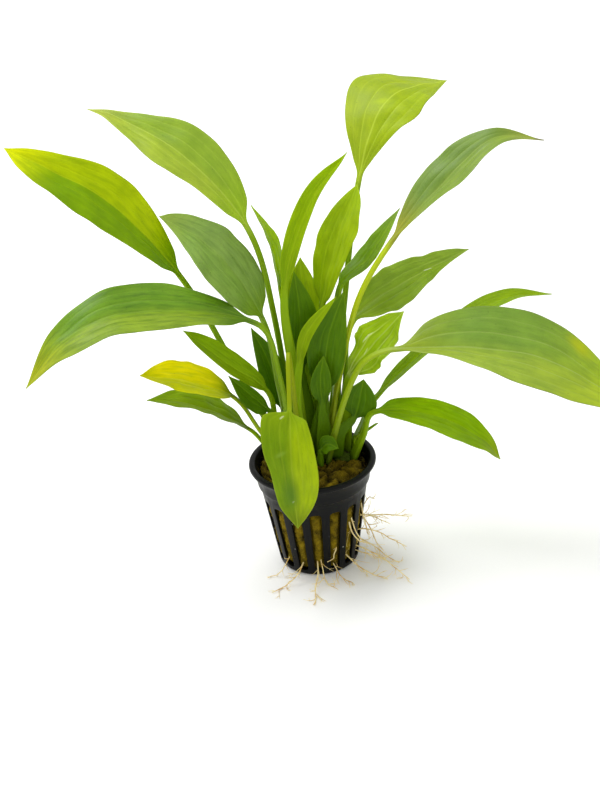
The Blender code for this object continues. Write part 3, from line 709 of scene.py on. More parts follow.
def smooth_line(points: Sequence[Vector], steps: int) -> list[Vector]:
    """Points along a smooth curve through the given ones.

    Args:
        points: what the curve passes.
        steps: how many points each span gets.

    Returns:
        The points from first to last.
    """
    line = []
    for here in range(len(points) - 1):
        start, end = points[here], points[here + 1]
        reach = (end - start).length / 3
        into = (end - points[max(here - 1, 0)]).normalized()
        out = (points[min(here + 2, len(points) - 1)] - start).normalized()
        line.extend(interpolate_bezier(start, start + into * reach, end - out * reach, end, steps + 1)[:-1])
    return line + [points[-1].copy()]


def resample(line: Sequence[tuple[Vector, float]], gap: float) -> tuple[list[tuple], float]:
    """A line's stations at equal distances.

    Args:
        line: places with their headings.
        gap: about how far apart the stations are; a short line still gets twelve.

    Returns:
        The stations, each a place, a heading and a direction, and the line's length.
    """
    places = np.array([place for place, _ in line])
    headings = np.array([heading for _, heading in line])
    steps = np.linalg.norm(np.diff(places, axis=0), axis=1)
    reach = np.concatenate([[0], np.cumsum(steps)])
    count = max(12, int(reach[-1] / gap))
    wanted = np.linspace(0, reach[-1], count)
    picked = np.stack([np.interp(wanted, reach, places[:, axis]) for axis in range(3)], axis=1)
    directions = np.gradient(picked, axis=0)
    directions /= np.linalg.norm(directions, axis=1)[:, None]
    return list(zip(picked, np.interp(wanted, reach, headings), directions)), float(reach[-1])


BRIGHT, MIDDLE, DARK = "leaf_bright_green", "leaf_mid_green", "leaf_dark_green"
GREY, YELLOW = "leaf_grey_green", "leaf_yellow"


@dataclass
class Foliage:
    """All the leaves."""

    leaves: tuple[Leaf, ...] = (
        Leaf("upper_left_leaf", "back_left", 150, 146, (14, 143), (42, 170), (90, 185), 25, BRIGHT,
             Tone.UPPER_LEFT, roll=-24, left=((10, 4.5), (30, 8), (50, 11.5), (70, 8), (85, 4)),
             right=((10, 6), (30, 12), (50, 13), (70, 7.5), (85, 2.5)), by=(5, 106), bend=(77, 184)),
        Leaf("far_left_folded_leaf", "left", 118, 172, (37, 128), (62, 161), (102, 186), 23, BRIGHT,
             Tone.FOLDED, roll=-25, fold=14,
             left=((10, 6), (20, 9.5), (40, 15.5), (55, 17), (75, 13), (90, 8)),
             right=((10, 4.5), (20, 7.5), (40, 12), (50, 12.5), (70, 10), (90, 4.5)), bend=(86, 177)),
        Leaf("mid_left_leaf", "left", 75, 166, (9, 108), (27, 139), (48, 153), 28, GREY, Tone.MID_LEFT,
             roll=-20, left=((10, 8), (25, 14), (45, 17.5), (60, 16.5), (75, 10.5), (90, 3.5)),
             right=((10, 6), (25, 10.5), (50, 12), (70, 9.5), (85, 7), (95, 3.5))),
        Leaf("long_left_leaf", "left", 275, 192, (11, 113), (63, 127), (105, 102), 29, MIDDLE, Tone.LONG_LEFT,
             roll=-22, left=((10, 6.5), (20, 9.5), (40, 13), (60, 13.5), (75, 10.5), (90, 4.5)),
             right=((10, 5), (20, 8.5), (40, 13), (60, 11.5), (80, 7), (92, 3)), by=(3, 88), bend=(88, 119)),
        Leaf("narrow_left_leaf", "left", 158, 186, (4, 77), (20, 93), (36, 110), 13, MIDDLE, Tone.GREEN,
             roll=-35, left=((10, 3), (30, 4.5), (60, 4), (85, 2.5)),
             right=((10, 3), (30, 5.5), (60, 6), (85, 3.5)), stalk=2, wing=1.0),
        Leaf("yellow_leaf", "left", 228, 200, (20, 82), (38, 94), (58, 102), 19, YELLOW, Tone.YELLOWED,
             roll=-15, left=((20, 8.5), (45, 11), (70, 9.5), (90, 4)),
             right=((10, 5), (20, 8), (40, 10.5), (60, 10), (80, 7)), stalk=2),
        Leaf("leaf_under_yellow_leaf", "left", 193, 192, (13, 63), (35, 79), (54, 85), 24, MIDDLE, Tone.SHADED_UNDER,
             stalk=2),
        Leaf("small_dark_left_leaf", "front", 120, 200, (17, 70.5), (25.5, 81), (33, 91), 15, DARK,
             Tone.SHADED, roll=-42, left=((15, 5), (45, 8), (75, 6.5)), right=((15, 2.5), (45, 3.5), (75, 2)),
             stalk=2, wing=1.2),
        Leaf("back_narrow_leaf", "back_left", 95, 125, (7, 115), (12, 136), (23, 148), 15, BRIGHT, Tone.FRESH,
             roll=40, stalk=2, wing=1.4),
        Leaf("upright_narrow_leaf", "back_left", 265, 55, (-4, 123), (18, 151), (49, 163), 11, BRIGHT,
             Tone.FRESH, roll=50, left=((10, 3), (30, 5), (50, 5.3), (75, 3.5)),
             right=((15, 2.5), (40, 2.5), (70, 1.5), (90, 0.8)), wing=1.3),
        Leaf("upright_wide_leaf", "back_right", 150, 40, (7, 107), (18, 134), (31, 154), 19, BRIGHT,
             Tone.PALE, widest=0.5, wing=1.3,
             right=((10, 4.5), (30, 8), (50, 10.5), (65, 11.5), (80, 9), (92, 5))),
        Leaf("top_leaf", "back_right", 90, 48, (31, 153), (51, 182), (86, 181.5), 38, BRIGHT, Tone.TOP,
             roll=12, turn=-12, fold=-5,
             left=((10, 3.5), (30, 12.5), (50, 20.5), (62, 22), (75, 15), (90, 8)),
             right=((10, 2.5), (30, 9.5), (50, 15.5), (62, 14), (75, 10), (90, 4))),
        Leaf("upper_right_leaf", "back_right", 250, 10, (33, 136), (58, 160), (98, 170), 25, GREY,
             Tone.UPPER_RIGHT, roll=18, left=((10, 3.5), (30, 9.5), (45, 11), (60, 9), (78, 4), (92, 1.2)),
             right=((10, 2), (30, 5), (48, 9), (62, 8), (78, 5.5), (90, 2)), by=(16.5, 109), bend=(78, 174)),
        Leaf("leaf_behind_upper_right_leaf", "back_right", 45, 30, (7, 115), (21, 124), (39, 142), 12, MIDDLE,
             Tone.BEHIND, wing=1.2),
        Leaf("mid_right_leaf", "back_right", 5, 28, (10.5, 100), (36, 110.5), (70, 116.5), 24, GREY,
             Tone.MID_RIGHT, roll=26, left=((10, 4), (30, 8.5), (50, 9.5), (65, 7), (80, 5.3), (92, 3)),
             right=((10, 6), (25, 10.5), (40, 10.5), (55, 8), (70, 4.3), (85, 1.8)), crinkle=0.5),
        Leaf("crinkled_right_leaf", "right", 90, 6, (5, 80), (16, 93), (29, 106), 20, BRIGHT, Tone.CRINKLED,
             roll=40, ruffle=1.5, left=((10, 2.5), (30, 6.5), (50, 8.8), (70, 7), (85, 4)), crinkle=0.9,
             wing=1.8),
        Leaf("long_right_leaf", "front", 330, 350, (30.5, 97), (83, 95), (133, 65), 35, BRIGHT,
             Tone.LONG_RIGHT, roll=26,
             left=((8, 7.5), (18, 14.5), (30, 18.5), (45, 18.5), (60, 16), (75, 10.5), (90, 5)),
             right=((10, 3), (20, 5.5), (32, 11.5), (45, 17), (55, 18), (65, 16.5), (78, 12), (90, 6.5)),
             by=(16, 88), bend=(113, 80)),
        Leaf("narrow_right_leaf", "right", 45, 10, (11, 67), (46, 95), (90, 103), 15, MIDDLE, Tone.GREEN,
             left=((10, 3.5), (30, 5), (50, 4.5), (70, 7), (85, 5)),
             right=((20, 6), (45, 8), (70, 7), (90, 3)), bend=(71, 104.5), wing=1.2),
        Leaf("lower_right_leaf", "right", 325, 355, (10, 66), (33, 64), (62, 41), 17, BRIGHT,
             Tone.LOWER_RIGHT, roll=20, left=((10, 4), (30, 6.7), (50, 8), (65, 8), (80, 5.2), (92, 2.8)),
             right=((10, 5), (30, 8.8), (50, 10.5), (65, 10), (80, 7.2), (92, 3.8)), bend=(55, 51)),
        Leaf("front_leaf", "left", 315, 265, (30, 86.5), (41, 69.5), (38, 36), 22.5, BRIGHT, Tone.FRONT,
             left=((7, 5.3), (16, 7.5), (26, 9), (37, 10), (50, 10.5), (62, 9.8), (74, 8), (88, 4.2)),
             right=((1.5, 4.6), (4, 7.2), (8, 9.6), (15, 11.4), (30, 10.8), (45, 8.5), (68, 7), (79, 5.6),
                    (89, 3.2)),
             by=(14, 103), stalk=1.9, lobes=(1.4, 5.5)),
        Leaf("crown_leaflet", "front", 285, 328, (1, 51), (5, 55), (9.5, 54), 8, MIDDLE, Tone.SHADED, roll=55,
             stalk=2),
        Leaf("cut_stalk", "right", 5, 5, (1, 52), (6, 55), (11, 58), 1.6, MIDDLE, Tone.GREEN,
             left=((4, 0.85), (97, 0.8)), right=((4, 0.85), (97, 0.8)), stalk=1.8),
        Leaf("short_dark_right_leaf", "right", 190, 10, (10, 62), (13.5, 73), (15, 79), 15, DARK, Tone.SHADED,
             roll=75, by=(3, 55), stalk=2, wing=1.8),
        Leaf("inner_right_leaf", "front", 85, 8, (5, 73), (8, 97), (16, 118), 16, DARK, Tone.SHADED, roll=80,
             wing=2.3),
        Leaf("inner_short_leaf", "front", 25, 180, (0, 70), (0, 81), (-2, 92), 9, DARK, Tone.SHADED, roll=-80,
             stalk=2, wing=2.0),
        Leaf("inner_curved_leaf", "front", 188, 10, (0.5, 91), (4.5, 104), (17.5, 118), 5, BRIGHT, Tone.FRESH,
             roll=70, by=(-2.5, 70), wing=0.9),
        Leaf("inner_left_leaf", "back_left", 185, 165, (3, 64), (8, 87), (14, 102), 11, DARK, Tone.SHADED,
             roll=-70, stalk=2, wing=1.8),
        Leaf("back_pale_leaf", "back_left", 35, 85, (5, 96), (10, 112), (14, 126), 14, BRIGHT, Tone.PALE,
             wing=1.7),
        Leaf("inner_middle_leaf", "back_left", 330, 115, (6, 80), (3, 108), (5, 126), 16, MIDDLE, Tone.SHADED,
             wing=2.2),
    )

    def build(self) -> None:
        """Builds and places every leaf; leaves of one tone share a finish, and a marked tone has one leaf."""
        finishes: dict[Tone, bpy.types.Material] = {}
        for leaf in self.leaves:
            shape, length = leaf.build()
            if leaf.tone not in finishes:
                finishes[leaf.tone] = leaf.tone.value.material(length)
            settle(shape.piece(leaf.name + "_veined", finishes[leaf.tone]), leaf.slot, leaf.name)


@dataclass(frozen=True)
class MouldedPolypropylene:
    """Black polypropylene, injection moulded.

    The mould gives it a fine even grain, so lights on it are soft. Handling has left faint scuffs that run up
    the wall, and a few pale specks of dust and lime.
    """

    name: str = "moulded_black_polypropylene"
    body: str = "060706"
    scuff: str = "171812"
    dust: str = "c9c8c0"
    roughness: float = 0.36

    def material(self) -> bpy.types.Material:
        """Builds the pot's material.

        Returns:
            The material.
        """
        made = Finish(self.name)
        add = made.add
        place = add("TexCoord", output="Object")
        upright = add("Mapping", {"Vector": place, "Scale": (1.0, 1.0, 0.2)})
        # Scuffs are 1 mm wide; the grain of the mould is 0.1 mm and is drawn at 0.4 mm to show.
        scuffs = add("TexNoise", {"Vector": upright, "Scale": 420.0, "Detail": 6.0, "Roughness": 0.65})
        worn = add("MapRange", (scuffs, 0.5, 0.75, 0.0, 0.6))
        colour = add("Mix", {SHARE: worn, UNDER: linear(self.body), OVER: linear(self.scuff)}, **COLOURS)
        # Specks are 0.4 to 0.8 mm across, in loose groups.
        grains = add("TexVoronoi", {"Vector": place, "Scale": 330.0}, output="Distance")
        speck = add("MapRange", (grains, 0.07, 0.13, 1.0, 0.0))
        grouped = add("MapRange", (add("TexNoise", {"Vector": place, "Scale": 130.0}), 0.56, 0.62, 0.0, 0.8))
        speck = add("Math", (speck, grouped), operation="MULTIPLY")
        colour = add("Mix", {SHARE: speck, UNDER: colour, OVER: linear(self.dust)}, **COLOURS)
        rough = add("MapRange", (scuffs, 0.3, 0.7, self.roughness - 0.06, self.roughness + 0.16))
        grain = add("TexNoise", {"Vector": place, "Scale": 2500.0})
        relief = add("Bump", {"Strength": 0.25, "Distance": 0.0001, "Height": grain})
        return made.done(add("BsdfPrincipled", {"Base Color": colour, "Roughness": rough, "Metallic": 0.0,
                                                "IOR": 1.49, "Specular IOR Level": 0.14, "Normal": relief}))


@dataclass
class NetPot:
    """The tapered net pot with its slotted wall and floor."""

    HEIGHT = 48.0
    FLOOR_RADIUS = 16.8
    SHOULDER_RADIUS = 22.8
    SHOULDER_HEIGHT = 38.5
    COLLAR_TOP_RADIUS = 25.4
    WALL = 1.2
    FLOOR = 1.6

    sides: int = 160
    collar_step: float = 1.0            # how far the collar stands out from the wall
    lip_radius: float = 26.8
    lip_height: float = 2.0
    lip_depth: float = 0.8              # half its thickness, outwards
    floor_rounding: float = 1.4
    floor_disc: float = 6.0             # radius of the floor's plain middle
    wall_rings: tuple = (2.1, 12, 22, 30, 36)
    inner_rings: tuple = (43, SHOULDER_HEIGHT, 30, 20, 10, 2.3)
    slots: int = 16
    first_slot: float = -92.0           # where it stands, degrees from +X towards +Y
    slot_bottom: float = 2.6
    slot_top: float = 33.0
    slot_width_bottom: float = 3.9
    slot_width_top: float = 5.0
    slot_rounding: float = 1.5          # height of a slot's rounded ends
    slot_depths: Span = (13.0, 25.4)    # radii between which the wall's slots are cut
    floor_slots: int = 8
    floor_slot_middle: float = 9.75
    floor_slot_straight: float = 1.55   # half the length of a floor slot's straight sides
    floor_slot_rounding: float = 1.7
    floor_depths: Span = (-2.0, 4.0)    # heights between which the floor's slots are cut
    edge: float = 0.13                  # bevel of the cut edges
    edge_angle: float = 50.0
    smooth_angle: float = 48.0
    weld: float = 0.05                  # points closer than this are joined
    finish: MouldedPolypropylene = field(default_factory=MouldedPolypropylene)

    @classmethod
    def wall_radius(cls, height: float) -> float:
        """Outer radius of the tapered wall below the shoulder."""
        return cls.FLOOR_RADIUS + (cls.SHOULDER_RADIUS - cls.FLOOR_RADIUS) * height / cls.SHOULDER_HEIGHT

    @classmethod
    def inner_radius(cls, height: float) -> float:
        """Inner radius of the pot.

        Args:
            height: above the ground.

        Returns:
            The radius there.
        """
        if height < cls.SHOULDER_HEIGHT:
            return cls.wall_radius(height) - cls.WALL
        share = (height - cls.SHOULDER_HEIGHT) / (cls.HEIGHT - cls.SHOULDER_HEIGHT)
        return (cls.SHOULDER_RADIUS - cls.WALL) * (1 - share) + (cls.COLLAR_TOP_RADIUS - cls.WALL) * share

    def profile(self) -> list[Span]:
        """The outline that the pot is turned from.

        Returns:
            Radius and height from the middle of the floor, up the outside, over the lip and down the inside.
        """
        centre, rounding = 0.02, self.floor_rounding
        turned = [(centre, 0.0), (self.floor_disc, 0.0), (self.FLOOR_RADIUS - rounding, 0.0)]
        for step in range(1, 6):
            angle = math.pi / 2 * step / 5
            turned.append((self.FLOOR_RADIUS - rounding * (1 - math.sin(angle) * 1.12),
                           rounding * (1 - math.cos(angle))))
        turned += [(self.wall_radius(height), height) for height in self.wall_rings]
        # The collar steps out from the wall in a small curve and flares up to the lip's underside.
        shoulder, collar = self.SHOULDER_HEIGHT, self.SHOULDER_RADIUS + self.collar_step
        top, under = self.COLLAR_TOP_RADIUS, self.HEIGHT - self.lip_height
        turned += [(self.wall_radius(shoulder - 0.5), shoulder - 0.5), (collar - 0.6, shoulder - 0.1)]
        turned += [(collar - 0.15, shoulder + 0.2), (collar, shoulder + 0.7), (collar + 0.25, shoulder + 2.5)]
        turned += [(collar + 0.6, shoulder + 5), (top - 0.05, under - 0.9), (top + 0.2, under - 0.35)]
        turned += [(top + 0.45, under - 0.05)]
        for step in range(9):
            angle = math.pi * (step / 8 - 0.5)
            turned.append((self.lip_radius - self.lip_depth + self.lip_depth * math.cos(angle),
                           self.HEIGHT - 1 + (self.lip_height / 2) * math.sin(angle)))
        inside, base = top - self.WALL, self.inner_radius(self.FLOOR)
        turned += [(inside + 0.9, self.HEIGHT), (inside + 0.3, self.HEIGHT - 0.15)]
        turned += [(inside, self.HEIGHT - 0.6)]
        turned += [(self.inner_radius(height), height) for height in self.inner_rings]
        turned += [(base - 0.5, self.FLOOR + 0.15), (base - 1.2, self.FLOOR)]
        return turned + [(self.floor_disc, self.FLOOR), (centre, self.FLOOR)]

    def slot_outline(self, number: int) -> np.ndarray:
        """Outline of one wall slot, with its ends rounded a little unevenly.

        Args:
            number: which slot, counted from the front towards +X.

        Returns:
            Its points, across and up.
        """
        corners = []
        low, high = self.slot_width_bottom / 2, self.slot_width_top / 2
        for centre, half, start in ((self.slot_bottom, low, math.pi), (self.slot_top, high, 0.0)):
            bulge = self.slot_rounding + 0.12 * math.sin(7 * number)
            for step in range(13):
                angle = start + math.pi * step / 12
                up = centre + (bulge if start else -bulge) + bulge * math.sin(angle)
                square = abs(math.cos(angle)) ** 0.6 * math.copysign(1, math.cos(angle))
                corners.append((half * square, up))
        return np.array(corners)

    def cutters(self) -> bpy.types.Object:
        """The shapes that the slots are cut with.

        Returns:
            All of them as one object.
        """
        shape, up = Shape(), np.array([0, 0, 1.0])
        for number in range(self.slots):
            out, side = compass(math.radians(self.first_slot + number * 360 / self.slots))
            outline = self.slot_outline(number)
            flat = outline[:, :1] * side + outline[:, 1:] * up
            shape.skin(np.array([flat + out * reach for reach in self.slot_depths]))
        turn = np.linspace(0, FULL_TURN, 24, endpoint=False)
        reach = (self.floor_slot_middle + self.floor_slot_straight * np.sign(np.cos(turn))
                 + self.floor_slot_rounding * np.cos(turn))
        for number in range(self.floor_slots):
            out, side = compass(math.radians(self.first_slot + number * 360 / self.floor_slots))
            flat = reach[:, None] * out + (self.floor_slot_rounding * np.sin(turn))[:, None] * side
            shape.skin(np.array([flat + up * height for height in self.floor_depths]))
        return shape.piece("slot_cutters", bpy.data.materials.new("cutter"))

    def build(self) -> None:
        """Builds the pot, cuts its slots and rounds their edges."""
        # Each slot is centred on a facet, so that its sides stay clear of the facets' edges.
        turn = math.radians(self.first_slot) + FULL_TURN / self.sides * (np.arange(self.sides) + 0.5)
        rings = [np.stack([radius * np.cos(turn), radius * np.sin(turn), turn * 0 + height], axis=-1)
                 for radius, height in self.profile()]
        shape = Shape()
        shape.skin(np.array(rings))
        piece = shape.piece("net_pot_moulded", self.finish.material())
        cutter = self.cutters()
        cut = piece.modifiers.new("slots", "BOOLEAN")
        cut.operation, cut.solver, cut.object = "DIFFERENCE", "EXACT", cutter
        self._apply(piece, self.weld)
        bevel = piece.modifiers.new("edges", "BEVEL")
        bevel.width, bevel.segments, bevel.limit_method = self.edge * MM, 2, "ANGLE"
        bevel.angle_limit, bevel.use_clamp_overlap = math.radians(self.edge_angle), False
        self._apply(piece, self.weld / 5)
        piece.data.set_sharp_from_angle(angle=math.radians(self.smooth_angle))
        bpy.data.objects.remove(cutter)
        settle(piece, "pot_plastic", "net_pot")

    @staticmethod
    def _apply(piece: bpy.types.Object, gap: float) -> None:
        """Makes a piece's modifiers part of its mesh, and joins points that lie close together.

        Args:
            piece: the piece.
            gap: how close, in millimetres.
        """
        mesh = bpy.data.meshes.new_from_object(piece.evaluated_get(bpy.context.evaluated_depsgraph_get()))
        piece.modifiers.clear()
        worked = bmesh.new()
        worked.from_mesh(mesh)
        bmesh.ops.remove_doubles(worked, verts=worked.verts, dist=gap * MM)
        bmesh.ops.dissolve_degenerate(worked, edges=worked.edges, dist=gap * MM / 2)
        worked.to_mesh(mesh)
        worked.free()
        piece.data = mesh


@dataclass(frozen=True)
class SpunMineralWool:
    """Mineral wool, spun from melted rock and stained olive-brown by algae and nutrient water.

    The dark between clumps is painted shade; single fibres on top catch the light as short pale strokes.
    """

    name: str = "spun_mineral_wool_stained"
    # The darkest colour: dark patches of fibre, and painted shade in the crevices.
    shade_and_dark_fibre: str = "141002"
    body: str = "7f6b0c"
    bright: str = "a38f20"
    matted: str = "5e4e0c"      # colours of the loose fibres, and of the fine roots
    frayed: str = "97812c"
    strand: str = "d8c478"

    def material(self) -> bpy.types.Material:
        """Builds the wool's material.

        Returns:
            The material.
        """
        made = Finish(self.name)
        add = made.add
        fibre, height = (add("Attribute", output="Fac", attribute_name=name, attribute_type="GEOMETRY")
                         for name in ("fibre", "height"))
        place = add("TexCoord", output="Object")
        # Clumps are 5 mm across; fibres are 0.01 mm thick and are drawn as 0.3 mm strokes.
        clumps = add("TexNoise", {"Vector": place, "Scale": 200.0, "Detail": 5.0, "Roughness": 0.65})
        warp = add("TexNoise", {"Vector": place, "Scale": 350.0}, output="Color")
        warped = add("VectorMath", (place, warp, (0.004, 0.004, 0.004)), operation="MULTIPLY_ADD")
        stretched = add("Mapping", {"Vector": warped, "Scale": (1.0, 0.35, 0.6)})
        strokes = add("TexNoise", {"Vector": stretched, "Scale": 1800.0, "Detail": 3.0})
        shades = ((0.3, linear(self.shade_and_dark_fibre)), (0.62, linear(self.body)), (0.78, linear(self.bright)))
        ramp = add("ValToRGB", (clumps,), output="Color", stops=shades)
        light = add("MapRange", (strokes, 0.5, 0.75, 0.0, 0.5))
        colour = add("Mix", {SHARE: light, UNDER: ramp, OVER: linear(self.bright)}, **COLOURS)
        # Painted shade: the wool darkens in the crevices between clumps.
        deep = add("MapRange", (height, -0.55, 0.3, 0.97, 0.0))
        colour = add("Mix", {SHARE: deep, UNDER: colour, OVER: linear(self.shade_and_dark_fibre)}, **COLOURS)
        shades = ((0.1, linear(self.matted)), (0.6, linear(self.frayed)), (1.0, linear(self.strand)))
        thread = add("ValToRGB", (fibre,), output="Color", stops=shades)
        on_fibre = add("Math", (fibre, 0.01), operation="GREATER_THAN")
        colour = add("Mix", {SHARE: on_fibre, UNDER: colour, OVER: thread}, **COLOURS)
        relief = add("Bump", {"Strength": 0.8, "Distance": 0.0005, "Height": strokes})
        return made.done(add("BsdfPrincipled", {"Base Color": colour, "Roughness": 0.85, "Metallic": 0.0,
                                                "IOR": 1.5, "Specular IOR Level": 0.08, "Normal": relief}))


@dataclass
class WoolPlug:
    """The plug of mineral wool that fills the pot, matted on top and threaded with fine roots."""

    MOUND_TOP = 44.0
    OPEN = 0.3                          # height value of wool that no clump shades

    sides: int = 288
    inset: float = 0.45                 # how far the wool keeps off the pot
    bottom: float = 2.0
    bottom_rounding: float = 0.9
    side_heights: Span = (2.6, 40.2)
    side_rings: int = 72
    top_edge: float = 41.5              # height where the top meets the side
    top_rings: int = 64
    clump: float = 7.4
    relief: float = 3.1                 # height of the clumps, of the lumps on them and of the finest matting
    lumps: float = 1.2
    matting: float = 0.35
    wall_rise: float = 1.5              # how much higher the wool stands along the wall
    wall_start: float = 14.0
    wall_width: float = 8.0
    calm: float = 7.0                   # distance from a crown at which the relief is whole
    dent: float = 1.3                   # depth of the dents in the side
    bulge: float = 1.7                  # how far the wool swells into the slots
    slot_lumps: float = 0.3
    strands: int = 620
    strand_area: float = 23.2           # radius within which loose fibres start
    strand_limit: float = 23.4          # radius that they turn back at
    strand_length: Span = (1.2, 3.2)
    strand_radius: Span = (0.04, 0.07)
    slot_strands: int = 300
    slot_strand_length: Span = (1.2, 3)
    root_threads: int = 30
    thread_slots: tuple[int, int] = (2, 6)      # first slot with fine roots, and the one after the last
    thread_length: Span = (7, 16)
    thread_radius: Span = (0.1, 0.17)
    thread_heights: Span = (5, 30)
    thread_limits: Span = (4.0, 34.0)
    seed: int = 41
    finish: SpunMineralWool = field(default_factory=SpunMineralWool)
    pot: NetPot = field(default_factory=NetPot)

    def top(self, x: float, y: float) -> Span:
        """The matted top at a place.

        Args:
            x: the place.
            y: the place.

        Returns:
            Its height, and how far it stands above its clump's edge.
        """
        reach = math.hypot(x, y)
        place = Vector((x / self.clump, y / self.clump, 3.1))
        near, _ = noise.voronoi(place + noise.noise_vector(place * 1.7) * 0.3)
        edge = math.sqrt(min(1.0, (near[1] - near[0]) / 0.5)) - 0.7
        lump = noise.fractal(place * 1.3, 0.7, 2.1, 4)
        rise = self.relief * edge + self.lumps * lump + self.matting * noise.fractal(place * 5.0, 0.8, 2.2, 3)
        to_wall = min(1.0, max(0.0, (reach - self.wall_start) / self.wall_width))
        mound = self.MOUND_TOP - 0.3 + self.wall_rise * to_wall ** 2
        calm = min(1.0, min(math.hypot(x - px, y - py) for px, py in Crowns.PLACES.values()) / self.calm)
        # The second value sets the painted shade of the crevices.
        return mound + rise * (0.35 + 0.65 * calm) * min(1, (24.5 - reach) / 2), edge + 0.4 * lump

    def side(self, angle: float, height: float) -> float:
        """The plug's side, which is dented all round and bulges into the slots.

        Args:
            angle: direction from the pot's middle.
            height: above the ground.

        Returns:
            Its radius there.
        """
        place = Vector((math.cos(angle) * 4.5, math.sin(angle) * 4.5, height / 4.2))
        dent = 0.5 + 0.5 * noise.fractal(place, 0.6, 2.2, 4)
        radius = NetPot.inner_radius(height) - self.inset - max(0.0, self.dent * dent)
        step = FULL_TURN / self.pot.slots
        away = (angle - math.radians(self.pot.first_slot) + step / 2) % step - step / 2
        share = (height - self.pot.slot_bottom) / (self.pot.slot_top - self.pot.slot_bottom)
        low, high = self.pot.slot_width_bottom, self.pot.slot_width_top
        half = (low + (high - low) * share) / 2
        beside = min(1.0, abs(away) * radius / (half - 0.3))
        ends = float(smoothstep(0.03, 0.12, share) * smoothstep(1.0, 0.88, share))
        lump = self.slot_lumps * noise.fractal(place * 3.0, 0.7, 2.2, 3)
        return radius + (self.bulge + lump) * ends * math.sqrt(1 - beside ** 2)

    def build(self) -> None:
        """Builds the plug with its fibres and thread-like roots."""
        # Without a seed of its own, noise_vector would follow the clock.
        noise.seed_set(self.seed)
        turn = np.linspace(0, FULL_TURN, self.sides, endpoint=False)
        rings, values = [], []
        for height in np.concatenate([[self.bottom], np.linspace(*self.side_heights, self.side_rings)]):
            ring = []
            for angle in turn:
                radius = self.side(angle, height) - (self.bottom_rounding if height == self.bottom else 0)
                ring.append((radius * math.cos(angle), radius * math.sin(angle), height))
            rings.append(ring)
            values.append([self.OPEN] * self.sides)
        edge_radius = NetPot.inner_radius(self.top_edge) - self.inset - 0.1
        # The rings lie closer together towards the edge. A fan closes the last one, 0.4 mm from the middle.
        for reach in edge_radius * (1 - np.linspace(0, 1, self.top_rings) ** 1.15 * 0.985):
            ring, deep = [], []
            for angle in turn:
                x, y = reach * math.cos(angle), reach * math.sin(angle)
                height, rise = self.top(x, y)
                ring.append((x, y, height))
                deep.append(rise)
            rings.append(ring)
            values.append(deep)
        shape = Shape()
        shape.skin(np.array(rings), height=np.array(values), fibre=0.0)
        luck = np.random.default_rng(self.seed)
        self._add_fuzz(shape, luck)
        self._add_slot_threads(shape, luck)
        settle(shape.piece("wool_plug_tufted", self.finish.material()), "mineral_wool", "wool_plug")

    def _add_fuzz(self, shape: Shape, luck: np.random.Generator) -> None:
        """Adds loose fibres on the top.

        Args:
            shape: the plug.
            luck: its random numbers.
        """
        points = 5
        for _ in range(self.strands):
            reach, angle = self.strand_area * math.sqrt(luck.random()), luck.uniform(0, FULL_TURN)
            ahead = luck.uniform(0, FULL_TURN)
            x, y = reach * math.cos(angle), reach * math.sin(angle)
            length, bend = luck.uniform(*self.strand_length), luck.normal(0, 0.5)
            lift = luck.uniform(0.05, 0.5)
            path = []
            for step in range(points):
                if math.hypot(x, y) > self.strand_limit:
                    x, y = x * 0.97, y * 0.97
                path.append((x, y, self.top(x, y)[0] + 0.03 + lift * math.sin(math.pi * step / (points - 1))))
                ahead += bend * 0.4 + luck.normal(0, 0.25)
                gap = length / (points - 1)
                x, y = x + gap * math.cos(ahead), y + gap * math.sin(ahead)
            radii = np.linspace(1, 0.5, points) * luck.uniform(*self.strand_radius)
            shape.tube(np.array(path), radii, 3, height=self.OPEN, fibre=float(luck.uniform(0.1, 0.7)))

    def _add_slot_threads(self, shape: Shape, luck: np.random.Generator) -> None:
        """Adds short fibres on the wool in the slots, and fine roots across those on the right.

        Args:
            shape: the plug.
            luck: its random numbers.
        """
        points, step = 9, FULL_TURN / self.pot.slots
        for number in range(self.slot_strands + self.root_threads):
            is_root = number >= self.slot_strands
            slot = luck.integers(*self.thread_slots) if is_root else luck.integers(0, self.pot.slots)
            angle = math.radians(self.pot.first_slot) + slot * step + luck.uniform(-0.3, 0.3) * step
            height, ahead = luck.uniform(*self.thread_heights), luck.uniform(0, FULL_TURN)
            length = luck.uniform(*(self.thread_length if is_root else self.slot_strand_length))
            gap, lowest, highest = length / (points - 1), *self.thread_limits
            path = []
            for _ in range(points):
                radius = self.side(angle, height) + (0.12 if is_root else 0.03)
                path.append((radius * math.cos(angle), radius * math.sin(angle), height))
                ahead += luck.normal(0, 0.3)
                angle += gap * math.cos(ahead) / radius
                height = min(highest, max(lowest, height + gap * math.sin(ahead)))
            thick = luck.uniform(*(self.thread_radius if is_root else self.strand_radius))
            radii = np.linspace(1, 0.6, points) * thick
            shape.tube(np.array(path), radii, 5 if is_root else 3, height=self.OPEN,
                       fibre=1.0 if is_root else float(luck.uniform(0.1, 0.6)))


